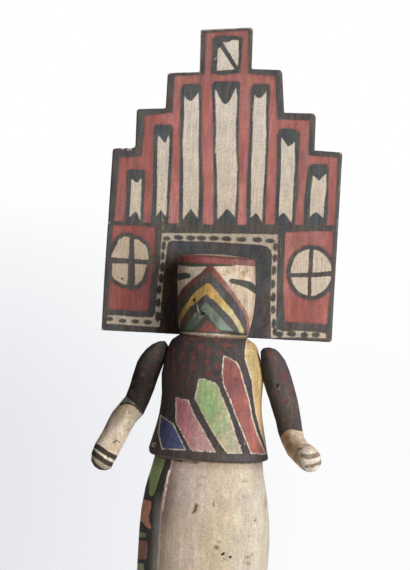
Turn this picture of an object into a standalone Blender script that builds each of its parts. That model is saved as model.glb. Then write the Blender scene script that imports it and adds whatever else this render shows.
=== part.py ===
"""Carved and painted wooden doll with a stepped board headdress.

The doll looks along -Y, Z is up, and its own right side is at -X.
The origin is the middle of the underside of the base.
Sizes are in millimetres and are turned into metres by MM.
Heights of the figure, the arms and the board are measured from the soles of the boots.
"""
import math

import bmesh
import bpy
from mathutils import Vector

MM = 0.001

# Space left between one wooden piece and the next
GAP = 0.3

# Oval base
BASE_LENGTH = 66.0
BASE_DEPTH = 54.0
BASE_THICKNESS = 8.0
BASE_EDGE = 1.2

# The doll stands on the base
SOLE_HEIGHT = BASE_THICKNESS + GAP

# Board headdress: the front face stands behind the middle of the head
BOARD_FRONT = 14.3
BOARD_THICKNESS = 4.5
BOARD_EDGE = 0.45
BOARD_BOTTOM = 168.5

# The stepped outline of the board, x and the height over its lower left corner
BOARD_OUTLINE = (
    (-60.2, 0.0), (-60.4, 23.2), (-59.8, 92.0), (-59.0, 92.8), (-48.3, 94.0),
    (-48.5, 112.5), (-47.8, 113.3), (-33.8, 114.5), (-33.9, 131.5),
    (-33.0, 132.4), (-17.5, 133.6), (-18.1, 154.4), (-17.5, 155.0),
    (7.3, 157.2), (8.0, 156.4), (8.6, 136.4), (23.3, 136.6),
    (24.2, 135.5), (26.4, 115.2), (41.4, 115.6), (42.5, 114.2),
    (42.8, 97.0), (56.4, 96.8), (57.0, 96.0), (57.1, 2.0), (56.4, 1.2),
)

# Horizontal sections are (z, middle x, half width, half depth)
FIGURE_SEGMENTS = 48
SKIRT_SECTIONS = (
    (17.7, 0.4, 28.8, 24.8),
    (18.2, 0.4, 30.0, 25.9),
    (20.2, 0.4, 30.7, 26.6),
    (25.7, 0.5, 31.2, 27.1),
    (36.7, 0.7, 31.9, 27.8),
    (51.7, 0.9, 32.3, 28.2),
    (66.7, 1.0, 32.4, 28.3),
    (71.7, 0.9, 32.3, 28.2),
    (76.7, 0.8, 32.0, 27.9),
    (81.7, 0.6, 31.6, 27.5),
    (86.7, 0.6, 30.9, 26.9),
    (91.7, 0.5, 30.1, 26.2),
    (96.7, 0.5, 29.0, 25.2),
    (101.7, 0.6, 27.8, 24.2),
    (108.7, 0.9, 26.6, 23.1),
)
SHIRT_SECTIONS = (
    (109.0, 0.9, 27.2, 23.7),
    (109.4, 0.5, 29.1, 25.2),
    (109.9, 0.5, 29.8, 25.7),
    (112.1, 0.0, 29.8, 25.6),
    (115.2, 0.1, 29.1, 24.9),
    (118.7, 0.2, 28.3, 24.2),
    (124.7, 0.3, 26.9, 23.0),
    (129.7, 0.3, 25.9, 22.1),
    (134.7, 0.2, 25.3, 21.6),
    (139.7, 0.2, 25.1, 21.4),
    (144.7, 0.1, 25.4, 21.6),
    (149.7, 0.0, 25.6, 21.7),
    (154.7, 0.0, 24.8, 21.1),
    (159.7, -0.2, 23.7, 20.4),
    (163.2, -0.4, 22.6, 19.7),
    (165.2, -0.3, 21.9, 19.2),
    (167.0, -0.5, 20.7, 18.4),
    (168.2, -0.6, 19.0, 17.2),
    (169.2, -0.9, 17.3, 16.2),
    (169.8, -0.8, 16.1, 15.4),
)
HEAD_SECTIONS = (
    (170.2, -0.4, 16.2, 15.7),
    (170.6, -0.4, 16.9, 16.4),
    (171.9, -0.5, 17.4, 16.9),
    (174.2, -0.5, 17.9, 17.3),
    (177.2, -0.4, 18.4, 17.8),
    (181.7, -0.3, 19.0, 18.3),
    (186.7, -0.3, 19.3, 18.6),
    (191.7, -0.5, 19.5, 18.8),
    (196.7, -0.8, 19.6, 18.9),
    (201.7, -1.0, 19.5, 18.8),
    (205.7, -1.1, 19.3, 18.6),
    (208.3, -1.1, 19.1, 18.4),
    (208.9, -1.1, 18.6, 17.9),
    (209.6, -1.1, 14.5, 14.0),
    (210.2, -1.1, 9.5, 9.2),
    (210.6, -1.1, 4.5, 4.3),
)
CROWN_RISE = 0.1

# Seat for the board: the back of the head and of the neck is cut flat
SEAT_FROM = BOARD_FRONT - GAP
SEAT_RELIEF = 0.8
SEAT_BOTTOM = BOARD_BOTTOM - SEAT_RELIEF

# Hanging sash, a raised panel down the right side of the skirt
SASH_RAISE = 0.8
SASH_ROOT = 3.0
SASH_FRONT_ANGLE = -33.0
SASH_BACK_ANGLE = -104.0
SASH_STEPS = 14
SASH_END_INSET = 0.45

# Boots: sections (z, forward shift, half width, half depth) round the middle of each leg
BOOT_SPREAD = 13.0
BOOT_SEGMENTS = 24
BOOT_SECTIONS = (
    (0.0, 5.0, 8.6, 14.2),
    (0.8, 5.0, 9.4, 15.2),
    (4.2, 5.0, 9.6, 15.2),
    (7.2, 4.2, 9.4, 13.8),
    (10.2, 2.0, 9.0, 10.9),
    (13.2, 0.6, 8.7, 9.2),
    (20.7, 0.0, 8.9, 8.9),
)

# Arms: outer and inner edge of each section as (x, z), then its middle y and half depth
ARM_SEGMENTS = 28
ARM_TIP_RISE = 0.7
ARM_RIGHT_SECTIONS = (
    ((-31.0, 163.9), (-24.9, 165.8), 0.0, 4.6),
    ((-33.8, 161.5), (-22.9, 163.0), 0.0, 6.6),
    ((-36.5, 157.8), (-22.8, 158.6), 0.0, 7.3),
    ((-38.3, 154.3), (-25.0, 154.0), -0.5, 7.4),
    ((-40.2, 147.2), (-27.1, 147.2), -1.0, 7.2),
    ((-41.3, 142.0), (-28.7, 141.3), -1.5, 6.8),
    ((-42.8, 136.9), (-30.8, 134.5), -3.0, 6.4),
    ((-45.8, 132.8), (-33.0, 128.6), -4.0, 6.3),
    ((-48.6, 128.9), (-36.4, 124.6), -5.5, 6.2),
    ((-50.5, 124.7), (-38.6, 120.0), -7.0, 6.0),
    ((-52.4, 119.3), (-40.9, 114.1), -9.0, 5.8),
    ((-55.6, 112.9), (-43.7, 107.9), -10.5, 5.8),
    ((-56.9, 108.1), (-45.5, 103.9), -12.0, 5.9),
    ((-56.7, 104.3), (-46.6, 101.2), -12.8, 5.2),
    ((-54.9, 101.6), (-49.1, 100.1), -13.2, 3.4),
)
ARM_LEFT_SECTIONS = (
    ((30.8, 165.1), (24.7, 165.2), 0.0, 4.6),
    ((32.6, 163.7), (23.5, 163.5), 0.0, 6.6),
    ((36.0, 159.8), (23.9, 158.9), 0.0, 7.4),
    ((38.5, 154.5), (24.9, 153.4), 0.0, 7.5),
    ((40.1, 150.4), (25.6, 148.9), 0.0, 7.3),
    ((42.0, 145.1), (27.5, 144.0), -0.5, 7.1),
    ((43.5, 140.7), (29.4, 139.6), -1.0, 6.9),
    ((44.8, 135.3), (31.3, 134.4), -1.5, 6.7),
    ((46.1, 130.4), (33.5, 129.1), -3.0, 6.6),
    ((47.2, 126.9), (35.3, 124.4), -7.0, 6.4),
    ((48.9, 123.1), (37.8, 120.0), -12.0, 6.1),
    ((52.0, 120.5), (41.8, 114.5), -18.0, 6.0),
    ((56.6, 118.3), (45.9, 111.7), -23.0, 6.5),
    ((59.0, 115.6), (47.7, 111.9), -27.0, 6.9),
    ((58.8, 114.6), (49.6, 112.0), -29.5, 5.8),
    ((57.0, 113.8), (51.6, 112.2), -30.8, 3.4),
)


def clear_scene():
    """Removes whatever the scene holds."""
    for old in list(bpy.data.objects):
        bpy.data.objects.remove(old, do_unlink=True)


def new_collection(name):
    """A collection of its own for the doll or for its cutters."""
    made = bpy.data.collections.new(name)
    bpy.context.scene.collection.children.link(made)
    return made


def stand_on_soles(made):
    """Hangs a piece or a cutter on the point between the soles."""
    made.parent = soles
    return made


def paint(name, colour, roughness):
    """A plain matte paint or bare wood."""
    material = bpy.data.materials.new(name)
    material.use_nodes = True
    shader = material.node_tree.nodes["Principled BSDF"]
    shader.inputs["Base Color"].default_value = (*colour, 1.0)
    shader.inputs["Roughness"].default_value = roughness
    shader.inputs["Metallic"].default_value = 0.0
    return material


def ellipse(middle_x, middle_y, half_width, half_depth, z, count):
    """Points of one horizontal section, anticlockwise seen from above."""
    points = []
    for step in range(count):
        turn = 2.0 * math.pi * step / count
        x = middle_x + half_width * math.cos(turn)
        y = middle_y + half_depth * math.sin(turn)
        points.append(Vector((x, y, z)))
    return points


def loft(name, rings, first_tip, last_tip, collection, origin=(0.0, 0.0, 0.0)):
    """Joins rings of points with a skin and closes both ends on a tip."""
    count = len(rings[0])
    start = Vector(origin)
    mesh = bpy.data.meshes.new(name)
    work = bmesh.new()
    rows = []
    for ring in rings:
        rows.append([work.verts.new((point - start) * MM) for point in ring])
    for lower, upper in zip(rows, rows[1:]):
        for step in range(count):
            after = (step + 1) % count
            work.faces.new((lower[step], lower[after], upper[after], upper[step]))
    low = work.verts.new((Vector(first_tip) - start) * MM)
    high = work.verts.new((Vector(last_tip) - start) * MM)
    for step in range(count):
        after = (step + 1) % count
        work.faces.new((low, rows[0][after], rows[0][step]))
        work.faces.new((high, rows[-1][step], rows[-1][after]))
    bmesh.ops.recalc_face_normals(work, faces=work.faces)
    work.to_mesh(mesh)
    work.free()
    mesh.shade_smooth()
    mesh.set_sharp_from_angle(angle=math.radians(35.0))
    made = bpy.data.objects.new(name, mesh)
    made.location = start * MM
    collection.objects.link(made)
    return stand_on_soles(made)


def upright_loft(name, sections, top, collection, grow=0.0):
    """A body made of the horizontal sections, grown sideways by the given amount."""
    rings = []
    for z, middle_x, half_width, half_depth in sections:
        ring = ellipse(middle_x, 0.0, half_width + grow, half_depth + grow, z, FIGURE_SEGMENTS)
        rings.append(ring)
    lowest = sections[0]
    first_tip = (lowest[1], 0.0, lowest[0])
    last_tip = (sections[-1][1], 0.0, top)
    return loft(name, rings, first_tip, last_tip, collection)


def sash_cutter(collection):
    """The hanging sash: the skirt's own sections, raised, between two angles."""
    rings = []
    sections = list(SKIRT_SECTIONS[1:])
    sections[0] = (sections[0][0] + SASH_END_INSET, *sections[0][1:])
    sections[-1] = (sections[-1][0] - SASH_END_INSET, *sections[-1][1:])
    for z, middle_x, half_width, half_depth in sections:
        outer = []
        inner = []
        for step in range(SASH_STEPS + 1):
            share = step / SASH_STEPS
            turn = math.radians(SASH_FRONT_ANGLE + share * (SASH_BACK_ANGLE - SASH_FRONT_ANGLE))
            side = math.sin(turn)
            front = -math.cos(turn)
            outer_x = middle_x + (half_width + SASH_RAISE) * side
            outer.append(Vector((outer_x, (half_depth + SASH_RAISE) * front, z)))
            inner_x = middle_x + (half_width - SASH_ROOT) * side
            inner.append(Vector((inner_x, (half_depth - SASH_ROOT) * front, z)))
        rings.append(outer + inner[::-1])
    first_tip = sum(rings[0], Vector()) / len(rings[0])
    last_tip = sum(rings[-1], Vector()) / len(rings[-1])
    return loft("sash_shape", rings, first_tip, last_tip, collection)


def boot_cutter(name, side, collection):
    """One leg and boot, standing just above the base and let into the skirt."""
    rings = []
    for z, forward, half_width, half_depth in BOOT_SECTIONS:
        ring = ellipse(side * BOOT_SPREAD, -forward, half_width, half_depth, z, BOOT_SEGMENTS)
        rings.append(ring)
    first_tip = (side * BOOT_SPREAD, -BOOT_SECTIONS[0][1], BOOT_SECTIONS[0][0])
    last_tip = (side * BOOT_SPREAD, 0.0, BOOT_SECTIONS[-1][0])
    return loft(name, rings, first_tip, last_tip, collection)


def block_cutter(name, low, high, collection):
    """A plain block between two corners."""
    made_mesh = bpy.data.meshes.new(name)
    work = bmesh.new()
    bmesh.ops.create_cube(work, size=1.0)
    size = Vector(high) - Vector(low)
    middle = (Vector(high) + Vector(low)) / 2.0
    bmesh.ops.scale(work, vec=size * MM, verts=work.verts)
    bmesh.ops.translate(work, vec=middle * MM, verts=work.verts)
    work.to_mesh(made_mesh)
    work.free()
    made = bpy.data.objects.new(name, made_mesh)
    collection.objects.link(made)
    return stand_on_soles(made)


def use_cutter(target, cutter, operation):
    """Adds or takes away the cutter's shape and keeps the cutter out of sight."""
    cutter.hide_render = True
    cutter.display_type = "WIRE"
    cut = target.modifiers.new(cutter.name, "BOOLEAN")
    cut.operation = operation
    cut.object = cutter


def arm(name, sections, collection):
    """A bent arm: each section is an ellipse square to the line through the middles."""
    middles = []
    for outer, inner, y, _ in sections:
        middles.append(Vector(((outer[0] + inner[0]) / 2.0, y, (outer[1] + inner[1]) / 2.0)))
    rings = []
    for step, (outer, inner, _, half_depth) in enumerate(sections):
        before = middles[max(step - 1, 0)]
        after = middles[min(step + 1, len(middles) - 1)]
        along = (after - before).normalized()
        across = Vector(((outer[0] - inner[0]) / 2.0, 0.0, (outer[1] - inner[1]) / 2.0))
        through = along.cross(across).normalized() * half_depth
        ring = []
        for part in range(ARM_SEGMENTS):
            turn = 2.0 * math.pi * part / ARM_SEGMENTS
            ring.append(middles[step] + across * math.cos(turn) + through * math.sin(turn))
        rings.append(ring)
    top_tip = middles[0] + (middles[0] - middles[1]).normalized() * ARM_TIP_RISE
    hand_tip = middles[-1] + (middles[-1] - middles[-2]).normalized() * ARM_TIP_RISE
    return loft(name, rings, top_tip, hand_tip, collection, origin=tuple(middles[1]))


def board(collection):
    """The board headdress: the stepped outline with the thickness of the board."""
    curve = bpy.data.curves.new("tablita", "CURVE")
    curve.dimensions = "2D"
    curve.fill_mode = "BOTH"
    curve.extrude = BOARD_THICKNESS / 2.0 * MM
    spline = curve.splines.new("POLY")
    spline.points.add(len(BOARD_OUTLINE) - 1)
    spline.use_cyclic_u = True
    for point, (x, z) in zip(spline.points, BOARD_OUTLINE):
        point.co = (x * MM, z * MM, 0.0, 1.0)
    made = bpy.data.objects.new("tablita", curve)
    made.location = (0.0, (BOARD_FRONT + BOARD_THICKNESS / 2.0) * MM, BOARD_BOTTOM * MM)
    made.rotation_euler = (math.radians(90.0), 0.0, 0.0)
    collection.objects.link(made)
    weld = made.modifiers.new("weld", "WELD")
    weld.merge_threshold = 0.00001
    edge = made.modifiers.new("edge", "BEVEL")
    edge.width = BOARD_EDGE * MM
    edge.segments = 2
    edge.limit_method = "ANGLE"
    edge.angle_limit = math.radians(60.0)
    return stand_on_soles(made)


def base(collection):
    """The low oval base with a softened rim."""
    mesh = bpy.data.meshes.new("base")
    work = bmesh.new()
    bmesh.ops.create_cone(work, cap_ends=True, segments=64, radius1=0.5, radius2=0.5, depth=1.0)
    size = Vector((BASE_LENGTH, BASE_DEPTH, BASE_THICKNESS)) * MM
    bmesh.ops.scale(work, vec=size, verts=work.verts)
    work.to_mesh(mesh)
    work.free()
    made = bpy.data.objects.new("base", mesh)
    made.location = (0.0, 0.0, BASE_THICKNESS / 2.0 * MM)
    collection.objects.link(made)
    edge = made.modifiers.new("edge", "BEVEL")
    edge.width = BASE_EDGE * MM
    edge.segments = 3
    edge.limit_method = "ANGLE"
    edge.angle_limit = math.radians(40.0)
    return made


clear_scene()
doll = new_collection("painted_doll")
cutters = new_collection("painted_doll_cutters")

soles = bpy.data.objects.new("soles", None)
soles.location = (0.0, 0.0, SOLE_HEIGHT * MM)
doll.objects.link(soles)

cream_paint = paint("cream_mineral_paint", (0.66, 0.56, 0.44), 0.85)
black_paint = paint("black_mineral_paint", (0.06, 0.058, 0.056), 0.8)
red_paint = paint("red_mineral_paint", (0.38, 0.09, 0.08), 0.85)
bare_wood = paint("bare_cottonwood", (0.5, 0.37, 0.23), 0.8)

figure_sections = SKIRT_SECTIONS + SHIRT_SECTIONS + HEAD_SECTIONS
crown = HEAD_SECTIONS[-1][0] + CROWN_RISE
figure = upright_loft("figure", figure_sections, crown, doll)
figure.data.materials.append(cream_paint)
use_cutter(figure, sash_cutter(cutters), "UNION")
use_cutter(figure, boot_cutter("boot_right_shape", -1.0, cutters), "UNION")
use_cutter(figure, boot_cutter("boot_left_shape", 1.0, cutters), "UNION")
widest = max(section[2] for section in figure_sections)
deepest = max(section[3] for section in figure_sections)
seat_low = (-2.0 * widest, SEAT_FROM, SEAT_BOTTOM)
seat_high = (2.0 * widest, SEAT_FROM + 2.0 * deepest, 2.0 * crown - SEAT_BOTTOM)
use_cutter(figure, block_cutter("seat_shape", seat_low, seat_high, cutters), "DIFFERENCE")

shirt_top = SHIRT_SECTIONS[-1][0] + CROWN_RISE
clearance = upright_loft("shirt_clearance", SHIRT_SECTIONS, shirt_top, cutters, grow=GAP)

arm_right = arm("arm_right", ARM_RIGHT_SECTIONS, doll)
arm_right.data.materials.append(black_paint)
use_cutter(arm_right, clearance, "DIFFERENCE")

arm_left = arm("arm_left", ARM_LEFT_SECTIONS, doll)
arm_left.data.materials.append(black_paint)
use_cutter(arm_left, clearance, "DIFFERENCE")

tablita = board(doll)
tablita.data.materials.append(red_paint)

stand = base(doll)
stand.data.materials.append(bare_wood)
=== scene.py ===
"""Carved cottonwood doll with a stepped board headdress: its paint, its wear and a plain studio.

The doll looks along -Y with Z up, and its own right side is at -X.
Sizes in the tables are millimetres. MM turns them into metres.
The painted shapes are given as they are seen: each corner is (across, up) in millimetres at the
doll's middle, from an eye VIEW_DISTANCE in front of it and a little to its left.
Past the edge that this eye can see, across goes on along the surface.
"""
import itertools
import math
from functools import partial

import bmesh
import bpy
import numpy as np
from mathutils import Matrix, Vector


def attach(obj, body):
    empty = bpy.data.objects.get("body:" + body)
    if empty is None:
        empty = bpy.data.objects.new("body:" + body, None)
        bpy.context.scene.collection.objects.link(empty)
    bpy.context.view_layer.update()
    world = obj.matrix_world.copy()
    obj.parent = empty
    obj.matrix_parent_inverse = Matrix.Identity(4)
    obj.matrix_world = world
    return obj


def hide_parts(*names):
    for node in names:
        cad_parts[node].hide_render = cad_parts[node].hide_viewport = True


bl_info = {
    "name": "Painted Cottonwood Doll",
    "version": (1, 0, 0),
    "blender": (4, 5, 0),
    "location": "View3D > Sidebar > Painted Doll",
    "description": "Dresses the carved doll in mineral paint and sets it in a plain studio",
    "category": "Object",
}

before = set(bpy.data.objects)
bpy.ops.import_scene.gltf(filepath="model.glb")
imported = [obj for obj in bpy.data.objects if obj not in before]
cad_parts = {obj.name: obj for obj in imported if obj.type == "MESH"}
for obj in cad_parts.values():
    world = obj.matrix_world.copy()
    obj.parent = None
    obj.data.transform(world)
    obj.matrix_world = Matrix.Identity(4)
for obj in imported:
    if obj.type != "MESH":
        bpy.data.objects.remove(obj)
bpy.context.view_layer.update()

MM = 0.001
SEED = 11

# Tints of the softboxes
WARM_WHITE = (1.0, 0.99, 0.97)
COOL_WHITE = (0.97, 0.98, 1.0)

# The eye that the painted shapes are drawn for, and that the camera stands at
VIEW_DISTANCE = 1200.0
VIEW_AZIMUTH = math.radians(8.0)
VIEW_ELEVATION = math.radians(1.0)
VIEW_ROLL = math.radians(3.3)
VIEW_CENTRE = (-6.3, 203.2)
VIEW_HEIGHT = 285.0
SENSOR = 36.0
VIEW_BACK = np.array((
    math.sin(VIEW_AZIMUTH) * math.cos(VIEW_ELEVATION),
    -math.cos(VIEW_AZIMUTH) * math.cos(VIEW_ELEVATION),
    math.sin(VIEW_ELEVATION),
))
VIEW_RIGHT = np.array((math.cos(VIEW_AZIMUTH), math.sin(VIEW_AZIMUTH), 0.0))
VIEW_UP = np.cross(VIEW_BACK, VIEW_RIGHT)
VIEW_AIM = np.array((
    VIEW_CENTRE[0] / math.cos(VIEW_AZIMUTH),
    0.0,
    VIEW_CENTRE[1] / math.cos(VIEW_ELEVATION),
))

# Heights on the doll
SKIRT_HEM = 26.0
SHIRT_HEM = 117.2
NECK = 178.3
SOLE_TOP = 11.0

# Figure, the axis of each rounded form: its x, and the depth of the form over its width
HEAD_AXIS = (-0.7, 0.96)
SHIRT_AXIS = (0.1, 0.86)
SKIRT_AXIS = (0.7, 0.873)

# Distances to paint: where a coat is absent, before any shape is laid, and what keeps one off a zone
ABSENT = 5.0
FAR = 50.0
OFF_ZONE = 60.0

# Board, the red field that holds the columns
RED_FIELD = (
    (-53.4, 232.6), (-53.2, 250.0), (-52.4, 264.3), (-41.6, 265.6), (-41.3, 285.8),
    (-27.4, 288.4), (-27.6, 306.6), (-12.6, 308.2), (-13.2, 329.0), (8.0, 331.6),
    (9.3, 310.0), (22.6, 309.4), (25.0, 288.0), (41.2, 288.3), (41.6, 270.9),
    (56.2, 270.6), (56.7, 250.0), (56.7, 236.8), (37.0, 235.8), (21.5, 235.2),
    (7.8, 234.0), (-4.5, 233.5), (-21.4, 233.2), (-35.0, 232.6),
)
# Board, black ground of each column, then the cream ribbon on it
COLUMNS = (
    (
        ((-48.4, 231.0), (-48.2, 245.0), (-48.8, 257.8), (-47.5, 258.8), (-40.2, 259.0),
         (-39.2, 257.5), (-39.2, 245.0), (-39.0, 231.0)),
        ((-46.0, 235.0), (-46.0, 245.0), (-46.0, 254.5), (-44.6, 253.0), (-43.5, 252.3),
         (-42.4, 252.6), (-41.6, 254.4), (-41.0, 254.2), (-40.8, 245.0), (-40.4, 233.0),
         (-41.8, 236.4), (-43.0, 238.0), (-44.2, 236.8)),
    ),
    (
        ((-35.2, 231.0), (-35.2, 250.0), (-35.8, 268.0), (-36.6, 280.5), (-35.5, 282.0),
         (-28.0, 282.2), (-26.8, 280.5), (-26.3, 260.0), (-26.4, 240.0), (-26.4, 231.0)),
        ((-32.6, 236.0), (-33.0, 250.0), (-33.9, 268.0), (-34.1, 277.0), (-32.6, 275.2),
         (-30.7, 273.0), (-29.8, 273.2), (-28.9, 277.6), (-28.2, 275.0), (-28.0, 255.0),
         (-27.6, 236.0), (-29.0, 237.6), (-30.5, 239.5), (-31.4, 238.0)),
    ),
    (
        ((-21.0, 231.0), (-21.8, 250.0), (-22.3, 262.0), (-23.2, 280.0), (-24.2, 300.0),
         (-22.8, 302.8), (-15.0, 303.6), (-13.6, 302.0), (-13.0, 290.0), (-12.0, 272.0),
         (-10.2, 255.0), (-9.5, 240.0), (-9.2, 231.0)),
        ((-19.3, 234.9), (-19.7, 245.0), (-20.2, 257.0), (-21.6, 274.0), (-21.6, 288.0),
         (-22.2, 297.5), (-20.6, 295.4), (-19.3, 294.5), (-18.0, 294.8), (-15.1, 299.2),
         (-14.3, 290.0), (-13.7, 275.0), (-12.6, 260.0), (-11.9, 246.0), (-11.7, 236.2),
         (-13.4, 238.4), (-15.6, 240.9), (-17.6, 238.0)),
    ),
    (
        ((-3.6, 231.0), (-4.4, 247.0), (-5.0, 258.0), (-6.2, 272.0), (-7.0, 285.0),
         (-8.2, 298.0), (-8.6, 303.0), (-7.5, 305.2), (4.6, 305.8), (5.5, 304.0),
         (5.6, 292.0), (6.2, 276.0), (7.3, 262.0), (7.8, 250.0), (8.0, 240.0), (8.2, 231.0)),
        ((-2.0, 236.0), (-2.6, 246.0), (-3.6, 260.0), (-5.0, 272.0), (-5.2, 282.0),
         (-6.2, 292.0), (-7.0, 301.6), (-5.2, 298.6), (-2.6, 294.6), (-1.0, 293.9),
         (0.6, 295.6), (3.6, 302.9), (4.4, 298.0), (4.5, 284.0), (5.2, 272.0), (6.3, 264.0),
         (6.8, 252.0), (6.6, 238.0), (4.4, 240.4), (2.4, 242.2), (0.0, 238.6)),
    ),
    (
        ((12.6, 231.0), (12.0, 248.0), (11.6, 262.0), (11.6, 278.0), (11.2, 292.0),
         (11.0, 303.0), (12.0, 305.0), (19.6, 305.4), (20.6, 304.0), (20.6, 290.0),
         (21.5, 274.0), (21.5, 258.0), (21.8, 246.0), (22.0, 231.0)),
        ((14.5, 238.0), (14.1, 250.0), (13.3, 264.0), (13.3, 278.0), (12.6, 290.0),
         (13.0, 299.6), (14.0, 298.4), (15.6, 298.0), (17.0, 299.0), (18.8, 301.8),
         (19.0, 294.0), (20.0, 278.0), (20.2, 262.0), (20.2, 248.0), (20.5, 236.0),
         (18.6, 239.0), (17.0, 240.6), (15.6, 239.0)),
    ),
    (
        ((26.8, 231.0), (26.4, 250.0), (26.0, 265.0), (25.3, 280.0), (26.6, 283.2),
         (29.0, 283.8), (34.5, 283.4), (36.4, 282.0), (36.8, 270.0), (37.2, 255.0),
         (37.0, 244.0), (36.6, 231.0)),
        ((28.5, 239.5), (28.3, 250.0), (28.4, 262.0), (27.8, 272.0), (27.6, 279.4),
         (29.4, 277.0), (31.2, 274.6), (33.4, 276.0), (34.3, 277.4), (34.6, 272.6),
         (35.2, 268.0), (35.0, 250.0), (35.2, 236.5), (33.0, 239.4), (31.0, 241.7),
         (29.6, 240.6)),
    ),
    (
        ((41.0, 231.0), (40.8, 250.0), (41.6, 262.0), (42.2, 265.8), (44.0, 266.6),
         (50.8, 267.0), (52.0, 265.6), (52.4, 258.0), (52.8, 246.0), (52.2, 231.0)),
        ((44.0, 240.0), (43.8, 252.0), (44.4, 261.0), (46.4, 259.8), (47.6, 258.4),
         (49.2, 260.4), (51.0, 262.6), (51.5, 256.0), (50.8, 246.0), (50.8, 240.0),
         (49.0, 241.6), (47.2, 243.1), (45.4, 241.8)),
    ),
)
# Board, the small square at the top
TOP_FRAME = (
    (-9.5, 309.2), (-9.2, 318.0), (-9.8, 326.0), (-7.0, 328.2), (0.0, 328.4), (5.2, 328.0),
    (5.4, 318.0), (5.2, 310.0), (0.0, 309.0), (-5.0, 308.4),
)
TOP_CREAMS = (
    ((-4.7, 325.2), (-1.6, 325.0), (0.2, 326.3), (3.5, 326.3), (3.9, 319.0), (3.7, 313.2),
     (0.0, 318.6)),
    ((-6.6, 321.6), (-5.7, 322.6), (-1.4, 316.6), (2.2, 311.8), (-2.0, 311.2), (-6.6, 310.4)),
)
# Board, the two red panels and the tint of each: the one at the doll's right is painted darker, a painted
# shade where the head's soft shadow falls on the board
PANELS = (
    ((-53.8, 188.6), (-54.2, 205.0), (-54.2, 220.0), (-53.8, 230.4), (-43.0, 231.0),
     (-33.2, 230.6), (-32.6, 228.0), (-32.8, 215.0), (-33.2, 200.0), (-33.6, 189.6),
     (-35.0, 188.3), (-44.0, 188.1)),
    ((34.6, 187.2), (33.5, 195.0), (32.8, 205.0), (32.2, 231.8), (40.0, 232.6), (48.0, 233.3),
     (56.3, 233.7), (56.3, 215.0), (56.2, 201.8), (55.8, 187.0)),
)
PANEL_PAINTED_SHADE = ((0.86, 0.73, 0.72), (1.0, 1.0, 1.0))
# Board, the cream disc of each wheel: an uneven outline at the doll's right and how far inside it
# the paint stops, an oval at its left. WHEEL_RING is the width of the black ring round a disc
RIGHT_WHEEL = (
    (-54.2, 214.5), (-52.8, 218.8), (-51.0, 223.4), (-48.7, 225.1), (-47.2, 225.4), (-44.4, 225.2),
    (-43.2, 224.4), (-40.5, 224.2), (-39.2, 222.7), (-37.3, 221.5), (-35.9, 218.5), (-34.9, 214.2),
    (-35.8, 211.8), (-36.4, 208.6), (-37.2, 205.2), (-38.3, 203.2), (-40.9, 201.0), (-43.0, 200.6),
    (-47.3, 201.1), (-51.6, 203.4), (-53.1, 205.5), (-53.6, 210.9),
)
RIGHT_WHEEL_INSET = 0.1
LEFT_WHEEL = ((46.3, 212.5), (10.3, 11.7))
WHEEL_RING = 2.0
# Board, the black bars across the wheels
WHEEL_BARS = (
    ((-45.4, 228.0), (-43.2, 228.0), (-42.2, 214.1), (-41.9, 211.8), (-41.4, 203.5),
     (-41.2, 198.0), (-45.0, 198.0), (-45.3, 211.6), (-45.2, 214.2)),
    ((-57.0, 214.3), (-45.2, 214.2), (-42.2, 214.1), (-33.0, 214.3), (-33.0, 211.5),
     (-42.0, 211.8), (-45.3, 211.6), (-57.0, 211.1)),
    ((44.7, 227.0), (46.9, 227.0), (47.0, 212.4), (46.6, 210.0), (47.2, 198.0), (45.4, 198.0),
     (44.8, 210.0), (44.8, 212.2)),
    ((33.0, 211.4), (44.8, 212.2), (47.0, 212.4), (59.0, 214.3), (59.0, 211.6), (46.6, 210.0),
     (44.8, 210.0), (33.0, 209.4)),
)
# Board, the dotted band: its outer edge, then its inner edge
DOTTED_BAND = (
    (-54.4, 185.2), (-50.0, 185.6), (-40.0, 185.2), (-31.6, 185.6), (-30.3, 188.0),
    (-30.0, 205.0), (-29.2, 214.0), (-29.5, 222.0), (-29.2, 228.0), (-15.0, 228.6),
    (0.0, 229.3), (15.0, 230.0), (28.6, 230.5), (29.0, 222.0), (29.2, 212.0), (29.8, 200.0),
    (30.1, 190.0), (30.6, 183.4), (34.0, 182.2), (42.0, 183.1), (55.4, 182.6), (55.6, 180.0),
    (42.0, 179.8), (33.0, 179.2), (28.2, 178.6), (27.6, 186.0), (26.7, 200.0), (26.4, 219.0),
    (25.8, 222.2), (24.0, 224.0), (21.0, 224.8), (0.0, 225.0), (-20.0, 224.6), (-24.0, 224.3),
    (-26.0, 223.6), (-26.6, 221.0), (-27.0, 210.0), (-27.4, 200.0), (-27.7, 185.0),
    (-27.6, 180.8), (-54.2, 181.2),
)
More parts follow.
